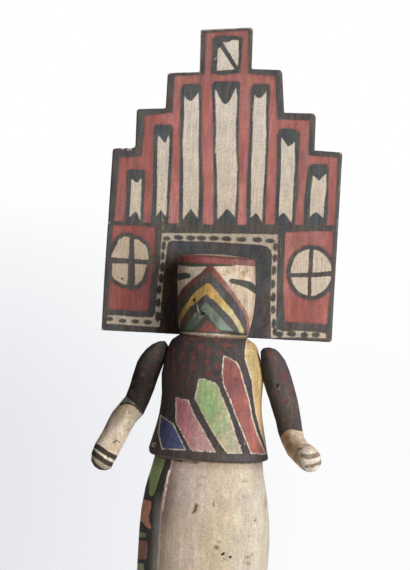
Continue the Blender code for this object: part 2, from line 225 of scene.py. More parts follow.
# Board, the dots of the band: (across, up), half length and half width. Upright ones come second
LYING_DOTS = (
    (-26.7, 225.3, 1.4, 0.9), (-20.8, 226.2, 1.9, 0.95), (-15.0, 226.3, 1.9, 1.0),
    (-9.6, 226.5, 2.0, 0.95), (-3.2, 226.8, 2.1, 1.05), (3.1, 226.8, 2.1, 1.05),
    (10.7, 227.0, 2.1, 1.0), (18.5, 227.3, 2.1, 1.1), (24.9, 227.1, 1.9, 0.95),
    (-52.9, 183.5, 1.3, 0.85), (-46.4, 183.0, 1.4, 0.8), (-40.1, 183.0, 1.6, 0.9),
    (-33.8, 183.0, 1.7, 0.95), (32.2, 180.8, 1.9, 1.1), (38.4, 181.2, 2.1, 1.1),
    (44.7, 181.2, 1.6, 1.0), (50.3, 181.4, 1.7, 0.95),
)
UPRIGHT_DOTS = (
    (-28.0, 221.6, 1.9, 0.9), (-28.2, 216.6, 1.7, 0.85), (-28.2, 211.0, 1.9, 0.9),
    (-28.4, 205.3, 1.9, 0.9), (-29.1, 199.5, 1.9, 0.9), (-29.1, 193.0, 1.9, 0.9),
    (-29.0, 186.0, 2.1, 1.0), (27.6, 224.3, 1.7, 0.85), (27.7, 218.6, 1.7, 0.85),
    (27.7, 212.6, 1.8, 0.9), (27.7, 205.5, 1.8, 0.9), (28.1, 199.0, 2.0, 0.95),
    (28.4, 192.8, 1.8, 0.9), (29.1, 186.0, 2.0, 0.9), (29.9, 181.8, 1.5, 0.9),
)
DOT_GAP = 0.25

# Marks are strokes, with a path and a width, and ovals, with a middle, half sizes and a turn.
# Board, edges rubbed to bare wood, chips and pits, and hollows: middle, half sizes and depth
BOARD_RUBBED = ((((-15.6, 330.4), (10.0, 333.2)), 1.3), (((-15.2, 309.0), (-15.4, 330.5)), 1.0))
BOARD_CHIPS = {
    "strokes": ((((-29.8, 237.5), (-29.2, 234.0), (-28.5, 229.6)), 0.3),),
    "ovals": (
        ((-51.2, 269.0), (1.0, 0.6)), ((-48.0, 268.6), (1.4, 0.5)), ((-7.5, 316.6), (0.9, 0.35), 0.6),
        ((-56.0, 231.6), (0.6, 0.5)), ((-21.7, 233.0), (0.25, 1.8)), ((-5.0, 271.0), (0.3, 1.6)),
    ),
}
BOARD_PITS = {"ovals": (((-48.0, 204.0), (0.6, 0.6)),)}
BOARD_DENTS = (
    ((-51.2, 269.6), (1.3, 0.9), 0.5), ((-47.6, 269.6), (2.2, 0.8), 0.6), ((-48.0, 204.0), (0.7, 0.7), 0.5),
)
# Board, how deep the waves of the knife are against the rounded pieces
BOARD_EVENNESS = 0.7

# Face, the foot of the red band under the crown, how far in it goes on the dome, and the dark line
CROWN_BAND_FOOT = (
    (-70.0, 213.8), (-20.0, 213.8), (-12.0, 214.0), (-4.0, 213.9), (4.0, 214.1), (10.0, 214.1),
    (18.0, 213.9), (70.0, 213.8),
)
CROWN_CAP_RADIUS = 13.0
CROWN_LINE = (
    (-70.0, 214.4), (-14.0, 214.4), (-4.0, 214.2), (3.0, 214.3), (8.5, 214.3), (8.5, 213.7),
    (3.0, 213.1), (-4.0, 212.5), (-10.0, 212.1), (-14.0, 211.9), (-19.0, 212.3), (-70.0, 212.6),
)
EYES = (
    ((-13.1, 207.2), (-14.3, 208.4), (-16.5, 208.9), (-19.0, 208.4), (-23.0, 208.0),
     (-23.0, 204.4), (-19.0, 204.9), (-16.0, 205.7), (-14.0, 206.3)),
    ((5.2, 206.0), (6.5, 207.2), (12.0, 206.8), (16.0, 206.3), (18.2, 204.8), (20.5, 203.6),
     (20.5, 199.8), (18.5, 200.5), (16.0, 202.0), (13.0, 203.3), (10.0, 204.2), (7.0, 204.8)),
)
# Face, the nested chevrons, each from the lower left over the top to the lower right
RED_OUTER = (
    (-24.0, 179.7), (-23.0, 188.0), (-21.5, 193.0), (-19.5, 197.0), (-17.0, 201.5),
    (-13.0, 205.5), (-9.0, 209.0), (-5.8, 212.4), (-4.0, 213.0), (-2.3, 212.3), (2.0, 207.5),
    (6.0, 203.0), (10.0, 198.0), (14.0, 193.0), (16.5, 188.0), (17.3, 183.0), (17.3, 179.7),
)
RED_INNER = (
    (-22.5, 179.7), (-21.2, 187.6), (-19.4, 192.4), (-17.3, 196.3), (-14.8, 200.3),
    (-12.4, 202.8), (-9.4, 205.8), (-5.8, 209.2), (-4.5, 209.8), (-3.5, 208.9),
    (1.0, 204.5), (6.0, 200.0), (10.0, 195.5), (13.5, 191.0), (15.5, 186.0), (16.0, 179.7),
)
CHEVRON_FEET = ((16.0, 179.6), (-22.5, 179.6))
YELLOW_OUTER = (
    (-19.0, 180.4), (-19.0, 183.0), (-18.3, 186.2), (-17.0, 190.0), (-14.3, 194.4), (-11.8, 198.4),
    (-9.3, 201.0), (-5.8, 204.0), (-4.0, 204.3), (-3.3, 203.5), (0.0, 200.0), (4.0, 195.5),
    (8.0, 191.5), (12.0, 186.0), (14.2, 182.0), (14.3, 179.7),
)
YELLOW_INNER = (
    (-18.0, 180.4), (-17.3, 183.6), (-15.5, 187.9), (-13.2, 191.6), (-10.0, 194.4),
    (-7.6, 196.8), (-6.2, 198.1), (-5.0, 198.6), (-3.6, 197.0), (-1.5, 196.0), (2.0, 192.8),
    (6.0, 189.0), (9.0, 186.0), (11.0, 183.0), (12.3, 180.5),
)
GREEN_OUTER = (
    (-15.2, 180.5), (-14.5, 182.0), (-12.5, 186.0), (-10.0, 189.0), (-8.0, 191.5),
    (-6.3, 194.0), (-5.3, 194.8), (-1.0, 190.8), (3.0, 187.0), (6.0, 184.0), (9.3, 181.0),
)
GREEN_INNER = (
    (-11.5, 180.6), (-10.5, 182.0), (-8.0, 185.0), (-5.5, 188.0), (-4.6, 188.6), (-3.4, 187.4),
    (-1.5, 185.0), (1.0, 182.5), (3.2, 181.2),
)
CHIN_TRIANGLE = ((-4.2, 185.9), (-8.2, 180.0), (3.0, 180.2), (-1.0, 183.0))
# Face, each painted stripe: outline, its two shades, where across the first turns into the second, wash
CHEVRONS = (
    (RED_OUTER + RED_INNER[::-1], "744239", "a4766a", (-5.0, 6.0), 1.5),
    (YELLOW_OUTER + YELLOW_INNER[::-1], "cba45b", "cfc297", (-4.0, 12.0), 1.7),
    (GREEN_OUTER + GREEN_INNER[::-1], "5b6e60", "839287", (-9.5, 4.0), 1.2),
    (CHIN_TRIANGLE, "8e564f", "8e564f", (-8.2, 3.0), 1.2),
)
# Face, the lines drawn in black: outline and shade
FACE_DARKS = ((CROWN_LINE, "424b3d"), (EYES[0], "4c4f48"), (EYES[1], "4c4f48"))
# Face, soiling as ovals, with middle, half sizes and strength, then the middles of the brown flecks
FACE_STAINS = (
    ((12.6, 210.3), (2.6, 2.0), 0.5), ((5.0, 210.6), (2.2, 1.8), 0.35), ((11.0, 179.6), (8.0, 1.5), 0.9),
    ((-8.0, 211.0), (3.0, 1.0), 0.3), ((12.0, 196.0), (1.4, 3.0), 0.3),
    ((-17.4, 185.6), (1.6, 3.5), 0.7), ((-4.8, 201.0), (1.0, 1.3), 0.6),
    ((-12.4, 194.6), (1.3, 1.6), 0.5), ((-0.6, 198.0), (1.2, 1.0), 0.4),
)
FACE_FLECKS = (
    (4.2, 211.6), (4.8, 210.2), (3.1, 208.8), (6.7, 211.7), (11.3, 210.2), (13.1, 210.6), (14.3, 211.4),
    (12.9, 209.1), (10.2, 211.9),
)
FLECK_HALVES = (0.5, 0.55)
# Face, pale scratches
SCRATCHES = (
    ((-10.0, 193.7), (-9.4, 191.5), (-8.5, 189.5)), ((-9.4, 191.3), (-8.2, 192.1)),
    ((-10.2, 188.9), (-10.6, 186.9)), ((-6.6, 190.2), (-4.3, 189.5)), ((-8.4, 187.0), (-6.1, 187.7)),
)
SCRATCH_WIDTH = 0.45

# Shirt, the slanting rays
RAYS = {
    "blue": ((-24.6, 136.8), (-18.3, 132.9), (-11.2, 120.3), (-23.0, 120.2), (-25.2, 127.5)),
    "pink": ((-17.6, 146.2), (-11.4, 145.1), (-8.0, 138.0), (-2.0, 129.0), (3.6, 120.2),
             (-8.3, 120.2), (-16.9, 134.2)),
    "green": ((-6.6, 156.0), (-4.3, 156.3), (1.8, 154.3), (3.4, 152.5), (6.5, 145.5),
              (10.0, 138.0), (13.5, 128.5), (17.0, 120.3), (9.6, 120.0), (2.5, 129.0),
              (-2.6, 137.0), (-8.0, 146.4), (-7.2, 151.0)),
    "red": ((5.0, 168.4), (8.2, 167.3), (11.5, 165.5), (13.5, 162.5), (16.0, 155.0),
            (19.0, 147.0), (21.0, 138.5), (24.0, 130.5), (28.9, 120.5), (21.6, 120.5),
            (17.5, 129.5), (13.0, 138.5), (9.4, 147.0), (5.8, 154.0), (4.9, 160.0)),
    "yellow": ((16.2, 177.6), (15.7, 172.0), (15.9, 167.5), (18.0, 162.0), (20.0, 156.5),
               (21.0, 150.0), (22.0, 145.0), (23.5, 139.0), (25.4, 133.0), (27.6, 127.5),
               (29.6, 121.0), (33.5, 121.0), (31.0, 133.0), (29.0, 145.0), (28.0, 157.0),
               (25.0, 168.0), (21.5, 176.0), (19.5, 177.6)),
}
RAY_TRIM = 0.31
# Shirt, how the yellow ray ends under the arm, in a pale strip and a dark line: path, width, shade
RAY_ENDS = (
    (((26.2, 166.0), (27.0, 158.0), (27.4, 150.0)), 1.5, "b3a894"),
    (((19.6, 177.4), (22.0, 173.6), (24.2, 168.4), (25.6, 163.0)), 1.1, "4c4638"),
)
# Shirt, the red dabs: how low they go, the most there are, height over width, and the one by the collar
SPOT_FLOOR = 136.0
MOST_SPOTS = 400
SPOT_STRETCH = 1.25
COLLAR_DAB = ((8.3, 173.8), (3.8, 1.5))

# Skirt, the hanging sash: bright edge with its width, a pale edge partly painted as the highlight where its
# step catches the light, dark band and the coloured blocks on it
SASH_PALE_EDGE_AND_HIGHLIGHT = (((-18.9, 109.6), (-19.8, 105.0), (-20.3, 100.0), (-21.0, 95.0), (-21.3, 89.0)), 0.42)
SASH_BAND = (
    (-17.9, 117.4), (-18.4, 112.0), (-19.4, 108.0), (-20.3, 104.0), (-20.9, 100.0),
    (-21.6, 95.0), (-21.8, 89.0), (-21.9, 78.0), (-21.8, 60.0), (-21.6, 24.0),
)
SASH_REACH = -46.0
SASH_BLOCKS = (
    ("green", ((-31.0, 118.0), (-20.6, 118.0), (-21.0, 114.5), (-22.0, 110.8), (-23.2, 107.0),
               (-24.2, 102.5), (-25.6, 98.0), (-26.5, 96.2), (-27.8, 96.5), (-28.4, 98.5),
               (-28.4, 103.0), (-28.6, 106.0), (-30.0, 110.0))),
    ("orange", ((-38.0, 94.5), (-30.3, 94.3), (-26.9, 93.8), (-27.0, 90.0), (-27.8, 86.5),
                (-27.3, 83.5), (-26.0, 80.5), (-27.0, 79.9), (-29.0, 81.0), (-31.0, 83.5),
                (-38.0, 84.0))),
    ("olive", ((-38.0, 78.4), (-28.6, 77.8), (-28.4, 75.6), (-38.0, 75.0))),
    ("russet", ((-38.0, 74.0), (-28.0, 73.6), (-27.2, 69.0), (-27.6, 64.6), (-38.0, 64.2))),
    ("pale_olive", ((-38.0, 62.6), (-28.8, 62.4), (-28.4, 57.0), (-28.9, 52.6), (-38.0, 52.0))),
    ("orange", ((-38.0, 49.6), (-28.2, 49.2), (-27.8, 44.0), (-28.2, 41.2), (-38.0, 41.0))),
    ("green", ((-38.0, 38.6), (-28.2, 38.4), (-27.8, 33.0), (-28.2, 29.6), (-38.0, 29.2))),
)
# Skirt, brown marks and a worm track: path, width, shade
SKIRT_MARKS = (
    (((-16.2, 115.0), (-14.4, 114.6), (-12.6, 114.9)), 1.1, "8a7048"),
    (((-7.8, 114.2), (-5.2, 114.2)), 0.8, "907b59"),
    (((-6.8, 108.2), (-3.0, 107.6), (1.0, 107.7)), 0.35, "a58b78"),
    (((-5.9, 88.9), (-4.9, 90.8), (-3.9, 93.2)), 0.85, "80583c"),
)
# Skirt, brown stains as ovals: middle, half sizes, strength
SKIRT_STAINS = (
    ((-11.5, 114.6), (7.0, 1.1), 0.8), ((-14.0, 114.7), (2.2, 0.8), 1.0),
    ((-5.4, 113.9), (1.6, 0.7), 1.0), ((4.0, 114.8), (10.0, 0.5), 0.7),
    ((-18.6, 113.4), (1.0, 2.6), 0.8), ((-17.8, 101.0), (1.0, 8.0), 0.35),
    ((-4.5, 91.6), (1.1, 2.8), 1.0), ((-3.0, 103.2), (2.2, 0.6), 0.5),
    ((-2.5, 107.0), (3.8, 0.8), 0.3), ((7.0, 72.5), (1.6, 1.3), 1.0), ((8.0, 75.4), (1.2, 0.8), 0.7),
    ((22.8, 68.5), (1.2, 1.0), 0.85), ((23.2, 65.4), (1.6, 0.9), 0.8), ((25.0, 70.0), (0.9, 1.0), 0.7),
    ((19.2, 106.5), (1.7, 1.2), 0.55), ((19.6, 98.7), (1.5, 1.2), 0.45),
    ((21.0, 66.0), (0.9, 0.8), 0.45), ((-11.5, 72.0), (1.2, 0.7), 0.4), ((-10.0, 98.0), (0.5, 0.4), 0.8),
    ((25.6, 87.6), (0.7, 1.8), 0.55), ((23.0, 79.0), (0.5, 0.4), 0.8), ((30.2, 96.0), (0.7, 4.5), 0.5),
    ((10.5, 66.0), (1.6, 0.8), 0.4), ((16.0, 67.2), (0.8, 0.5), 0.5),
)
# Figure, small chips down to bare wood and pits
FIGURE_CHIPS = {
    "strokes": (
        (((-10.2, 203.0), (-9.2, 201.8)), 0.3), (((16.8, 131.4), (17.5, 128.8)), 0.5),
        (((18.6, 127.0), (18.0, 125.2), (18.4, 124.2)), 0.45), (((16.3, 124.6), (16.0, 122.8)), 0.3),
        (((-2.8, 165.4), (-2.4, 164.8)), 0.2),
    ),
    "ovals": (
        ((-3.0, 92.2), (0.45, 1.1)), ((12.3, 68.4), (1.3, 0.75), -0.4), ((-27.2, 122.0), (1.1, 1.2)),
    ),
}
FIGURE_PITS = {
    "strokes": (
        (((-8.6, 191.9), (-8.2, 190.6), (-7.0, 189.2)), 0.75), (((3.8, 96.5), (4.3, 92.5)), 0.35),
        (((9.9, 69.1), (10.9, 69.9)), 1.15),
    ),
    "ovals": (
        ((-11.4, 195.5), (0.75, 1.15)), ((-6.7, 188.8), (1.2, 1.0), 0.5), ((3.9, 156.3), (0.55, 0.45)),
        ((-5.5, 89.6), (0.35, 0.6), -0.4), ((14.3, 68.1), (0.8, 0.7)), ((11.2, 67.0), (0.9, 0.3), -0.5),
        ((-27.2, 122.0), (0.5, 0.55)), ((25.5, 87.0), (0.3, 0.4)), ((22.8, 79.0), (0.3, 0.3)),
        ((20.0, 98.0), (0.3, 0.4)),
    ),
}

# Arms, the end of each sleeve from the doll's right to its left
SLEEVE_ENDS = {
    "arm_right": ((-46.0, 147.0), (-43.0, 145.5), (-39.5, 142.8), (-36.5, 140.5), (-34.5, 137.5),
                  (-33.6, 136.3), (-32.0, 134.0)),
    "arm_left": ((34.0, 128.5), (36.0, 130.0), (38.0, 132.6), (41.0, 133.6), (44.0, 133.3),
                 (46.4, 132.8), (50.0, 132.0)),
}
# Arms, stripes of the fists: shade, path, width. On the arm at the doll's left the last, thin brown stripe
# is painted shade in the crease of the wrist
FIST_STRIPES = {
    "arm_right": (
        ("3c342e", ((-58.5, 120.6), (-56.5, 119.8), (-53.0, 118.0), (-50.0, 116.0), (-46.3, 114.6)), 2.7),
        ("ddd5ca", ((-57.2, 118.5), (-54.0, 116.4), (-50.5, 114.0), (-46.6, 112.4)), 0.9),
        ("3f3631", ((-58.5, 117.0), (-57.5, 116.5), (-54.5, 114.3), (-51.0, 112.0), (-47.2, 110.5)), 2.6),
        ("b5a390", ((-58.0, 114.8), (-55.0, 112.0), (-52.0, 109.8), (-49.4, 108.6)), 1.5),
        ("463e38", ((-58.0, 112.5), (-55.5, 110.0), (-52.5, 108.0), (-50.0, 107.3)), 1.8),
    ),
    "arm_left": (
        ("918779", ((47.2, 120.8), (50.4, 120.3), (53.4, 121.1), (56.2, 122.6)), 2.5),
        ("93887b", ((49.4, 115.5), (52.4, 115.9), (54.8, 117.0), (56.6, 118.0)), 1.8),
        ("7d6b59", ((45.6, 118.2), (46.8, 116.2), (49.0, 113.5)), 0.6),
    ),
}
# Arms, the faded red dabs of the sleeves: middle, half sizes
SLEEVE_BLOTCHES = {
    "arm_right": (((-30.8, 171.8), (2.1, 1.4)), ((-33.6, 161.0), (1.3, 1.5)), ((-34.5, 156.6), (1.7, 1.4)),
                  ((-29.0, 167.0), (1.1, 1.3)), ((-39.4, 152.5), (1.3, 1.5)), ((-40.0, 147.4), (1.4, 1.7)),
                  ((-30.0, 152.0), (1.1, 1.4)), ((-27.0, 161.5), (1.0, 1.3))),
    "arm_left": (((28.2, 170.2), (2.2, 3.6)), ((35.4, 159.6), (2.8, 2.8)), ((30.6, 151.5), (1.5, 2.2)),
                 ((36.6, 147.8), (1.9, 2.6)), ((40.0, 152.5), (1.4, 2.6)), ((31.5, 166.0), (1.2, 1.6)),
                 ((41.0, 141.0), (1.2, 1.6))),
}
# Arm at the doll's right, the grey smear over its cuff and the dark line along it, with its width
CUFF_SMEAR = (
    (-46.4, 141.6), (-45.0, 141.2), (-43.0, 141.6), (-40.0, 141.6), (-37.3, 140.6),
    (-34.6, 138.2), (-33.0, 136.0), (-30.0, 140.0), (-38.0, 150.0), (-47.0, 150.0),
)
CUFF_LINE = (((-45.0, 141.2), (-43.1, 141.9), (-40.5, 142.0), (-37.4, 140.8), (-34.3, 137.8)), 1.1)
# Arms, brown stains of the forearms, and on the arm at the doll's left also painted shade on the forearm's
# underside beside the fist: middle, half sizes, strength
FOREARM_STAINS_AND_SHADE = {
    "arm_right": (((-46.8, 136.0), (1.6, 8.0), 0.5), ((-40.5, 137.0), (0.7, 0.7), 0.7),
                  ((-45.0, 134.0), (0.9, 0.8), 0.45), ((-51.5, 127.5), (1.7, 5.0), 0.4),
                  ((-38.0, 128.0), (1.0, 5.0), 0.2)),
    "arm_left": (((38.6, 129.5), (3.0, 3.6), 0.9), ((40.5, 125.0), (2.6, 4.0), 0.85),
                 ((43.5, 126.5), (2.2, 4.5), 0.6), ((44.0, 119.5), (1.8, 3.6), 0.8),
                 ((50.0, 126.3), (3.6, 0.6), 0.8), ((45.6, 124.2), (1.6, 0.6), 0.9),
                 ((52.0, 131.0), (2.0, 2.0), 0.35)),
}
# Arms, scratches down to bare wood and pits. The last spot on the arm at the doll's left is painted shade
# in the gap where the arm meets the body
ARM_CHIPS = {
    "arm_right": {},
    "arm_left": {"strokes": (
        (((31.0, 158.2), (31.6, 157.0)), 0.2), (((33.6, 154.8), (34.0, 153.6)), 0.25),
    )},
}
ARM_PITS_AND_GAP_SHADE = {
    "arm_right": {
        "strokes": (
            (((-47.9, 121.8), (-46.6, 122.4), (-45.7, 123.4)), 0.55),
            (((-45.5, 122.9), (-44.3, 122.2)), 0.6),
        ),
        "ovals": (((-40.4, 137.1), (0.3, 0.3)),),
    },
    "arm_left": {"ovals": (((32.7, 155.0), (0.75, 1.1), 0.3), ((24.6, 166.2), (0.7, 0.6)))},
}

# Patterns of the paint, each with its size in millimetres, detail and roughness: the wobble of the
# brush, the ragged edge of dry paint, clouds and mottle where it is thicker or thinner, and the grit of
# the pigment, as coarse as it needs to be to show
PAINT_PATTERNS = {
    "wobble": (2.2, 1.0, 0.5),
    "ragged": (0.6, 2.0, 0.5),
    "cloud": (7.0, 3.0, 0.6),
    "mottle": (1.2, 3.0, 0.75),
    "grit": (0.7, 2.0, 0.7),
}
# Width of a grain streak, size of a pore with dirt in it, and the bands of grain across the base
GRAIN_WIDTH = 0.75
PORE_SIZE = (0.8, 0.8, 1.5)
BASE_GRAIN = (26.0, 1.8, 1.8)
# How strongly the paint of each piece varies in clouds, mottle and grain streaks, how much dust and
# dirty pores it has, how deep its relief is, and how many millimetres long the streaks are
BOARD_LOOK = {
    "cloud": 0.1, "mottle": 0.16, "streak": 0.2, "dust": 0.32, "speck": 0.5, "bump": 0.8, "length": 16.0,
}
FIGURE_LOOK = {
    "cloud": 0.1, "mottle": 0.22, "streak": 0.12, "dust": 0.28, "speck": 0.42, "bump": 0.9, "length": 14.0,
}
ARM_LOOK = {
    "cloud": 0.1, "mottle": 0.3, "streak": 0.12, "dust": 0.15, "speck": 0.6, "bump": 0.9, "length": 10.0,
}


def linear(code):
    """A colour written as six sRGB hex digits, as linear red, green and blue."""
    channels = [int(code[i:i + 2], 16) / 255.0 for i in (0, 2, 4)]
    return tuple(c / 12.92 if c <= 0.04045 else ((c + 0.055) / 1.055) ** 2.4 for c in channels)


def opaque(code):
    """The same colour for a socket of a shader."""
    return (*linear(code), 1.0)


# Colours of the mineral paints where no setting of the panel holds them
RAY_SHADES = {
    "blue": ("3c425f", "565c8d"),
    "pink": ("b46e75", "b48f8a"),
    "green": ("90ac74", "b0a188"),
    "red": ("814c4d", "a6675e"),
    "yellow": ("bda472", "d8ae76"),
}
# Each arm: the shade of its stains, which on the arm at the doll's left also paints shade under the
# forearm, the shade of its dabs, and the sleeve's two blacks, the second much darker low on the arm at the
# doll's right and lighter at the outer side of the other
ARM_SHADES = {
    "arm_right": {"stain": "ab9280", "dab": "52302f", "sleeve": ("4b443f", "1f1513")},
    "arm_left": {"stain": "a2774c", "dab": "61403f", "sleeve": ("35302e", "544a48")},
}
SASH_SHADES = {
    "green": "9aab72",
    "orange": "cf9271",
    "olive": "8f8a66",
    "russet": "9a6b5e",
    "pale_olive": "a09a7c",
}


def value_noise(points, size, seed):
    """Smooth random numbers from -1 to 1 that change over about size, one size or one for each axis."""
    cells = points / np.asarray(size, dtype=float)
    low = np.floor(cells)
    part = cells - low
    part = part * part * (3.0 - 2.0 * part)
    low = low.astype(np.int64)
    total = np.zeros(len(points))
    for corner in itertools.product((0, 1), repeat=3):
        corner = np.array(corner)
        weight = np.prod(np.where(corner == 1, part, 1.0 - part), axis=1)
        key = low + corner
        mixed = (key[:, 0] * 73856093) ^ (key[:, 1] * 19349663) ^ (key[:, 2] * 83492791)
        mixed ^= seed * 2654435
        mixed = (mixed ^ (mixed >> 13)) * 1274126177 & 0xFFFFFFFF
        mixed = (mixed ^ (mixed >> 16)) & 0xFFFF
        total += weight * (mixed / 32767.5 - 1.0)
    return total


def smooth_step(values, low, high):
    """0 below low, 1 above high and a soft S between them."""
    t = np.clip((values - low) / (high - low), 0.0, 1.0)
    return t * t * (3.0 - 2.0 * t)


def outline_distance(across, up, corners):
    """Distance to a closed outline, negative inside it."""
    nearest = np.full(len(across), 1e9)
    inside = np.zeros(len(across), dtype=bool)
    for (ax, ay), (bx, by) in zip(corners, corners[1:] + corners[:1]):
        ex = bx - ax
        ey = by - ay
        t = np.clip(((across - ax) * ex + (up - ay) * ey) / (ex * ex + ey * ey), 0.0, 1.0)
        nearest = np.minimum(nearest, np.hypot(across - ax - t * ex, up - ay - t * ey))
        crosses = (ay > up) != (by > up)
        inside ^= crosses & (across < ax + (up - ay) * ex / (ey if ey else 1e-9))
    return np.where(inside, -nearest, nearest)


def stroke_distance(across, up, path, width):
    """Distance to a brush stroke of that width along a path, negative inside it."""
    nearest = np.full(len(across), 1e9)
    for (ax, ay), (bx, by) in zip(path, path[1:]):
        ex = bx - ax
        ey = by - ay
        t = np.clip(((across - ax) * ex + (up - ay) * ey) / (ex * ex + ey * ey), 0.0, 1.0)
        nearest = np.minimum(nearest, np.hypot(across - ax - t * ex, up - ay - t * ey))
    return nearest - width / 2.0


def oval_distance(across, up, middle, halves, turn=0.0):
    """About the distance to an oval, negative inside it. turn is in radians."""
    dx = across - middle[0]
    dy = up - middle[1]
    along = dx * math.cos(turn) + dy * math.sin(turn)
    beside = dy * math.cos(turn) - dx * math.sin(turn)
    return (np.hypot(along / halves[0], beside / halves[1]) - 1.0) * min(halves)


def marks_distance(across, up, strokes=(), ovals=()):
    """Distance to the nearest of some strokes (path, width) and ovals (middle, half sizes, turn)."""
    nearest = np.full(len(across), FAR)
    for stroke in strokes:
        nearest = np.minimum(nearest, stroke_distance(across, up, *stroke))
    for oval in ovals:
        nearest = np.minimum(nearest, oval_distance(across, up, *oval))
    return nearest


def side_of_path(across, up, path):
    """How far right of an upright path a point is, for a path given from its top to its foot."""
    heights = [p[1] for p in reversed(path)]
    places = [p[0] for p in reversed(path)]
    return across - np.interp(up, heights, places)


def as_seen(points):
    """(across, up) of points in millimetres, as the eye of the picture sees them."""
    away = points - VIEW_AIM
    nearer = VIEW_DISTANCE / (VIEW_DISTANCE - away @ VIEW_BACK)
    return VIEW_CENTRE[0] + away @ VIEW_RIGHT * nearer, VIEW_CENTRE[1] + away @ VIEW_UP * nearer


def as_wrapped(points, middle, depth_ratio):
    """(across, up) on an upright rounded form. Past the edge that the eye sees, across follows the surface.

    middle is the x of its axis, and depth_ratio its depth over its width.
    """
    x = points[:, 0] - middle
    y = points[:, 1] / depth_ratio
    radius = np.hypot(x, y)
    facing = math.atan(math.tan(VIEW_AZIMUTH) * depth_ratio)
    angle = np.arctan2(x, -y) - facing
    angle = (angle + math.pi) % (2.0 * math.pi) - math.pi
    limit = math.radians(88.8)
    held = np.clip(angle, -limit, limit)
    beyond = angle - held
    shown = np.column_stack((
        middle + radius * np.sin(held + facing),
        -radius * np.cos(held + facing) * depth_ratio,
        points[:, 2],
    ))
    across, up = as_seen(shown)
    return across + beyond * radius, up


def scattered(points, spacing, count, rng):
    """Places picked from points at least spacing apart, in a fixed order."""
    chosen = []
    nearest = np.full(len(points), 1e9)
    for index in rng.permutation(len(points)):
        if nearest[index] < spacing:
            continue
        chosen.append(index)
        nearest = np.minimum(nearest, np.linalg.norm(points - points[index], axis=1))
        if len(chosen) == count:
            break
    return points[chosen]


def spots_distance(points, places, rng, size, stretch):
    """Distance to upright dabs of about size across, negative inside them."""
    nearest = np.full(len(points), 1e9)
    for place in places:
        reach = size * rng.uniform(0.75, 1.2) / 2.0
        away = (points - place) / np.array((1.0, 1.0, stretch))
        nearest = np.minimum(nearest, np.linalg.norm(away, axis=1) - reach)
    return nearest


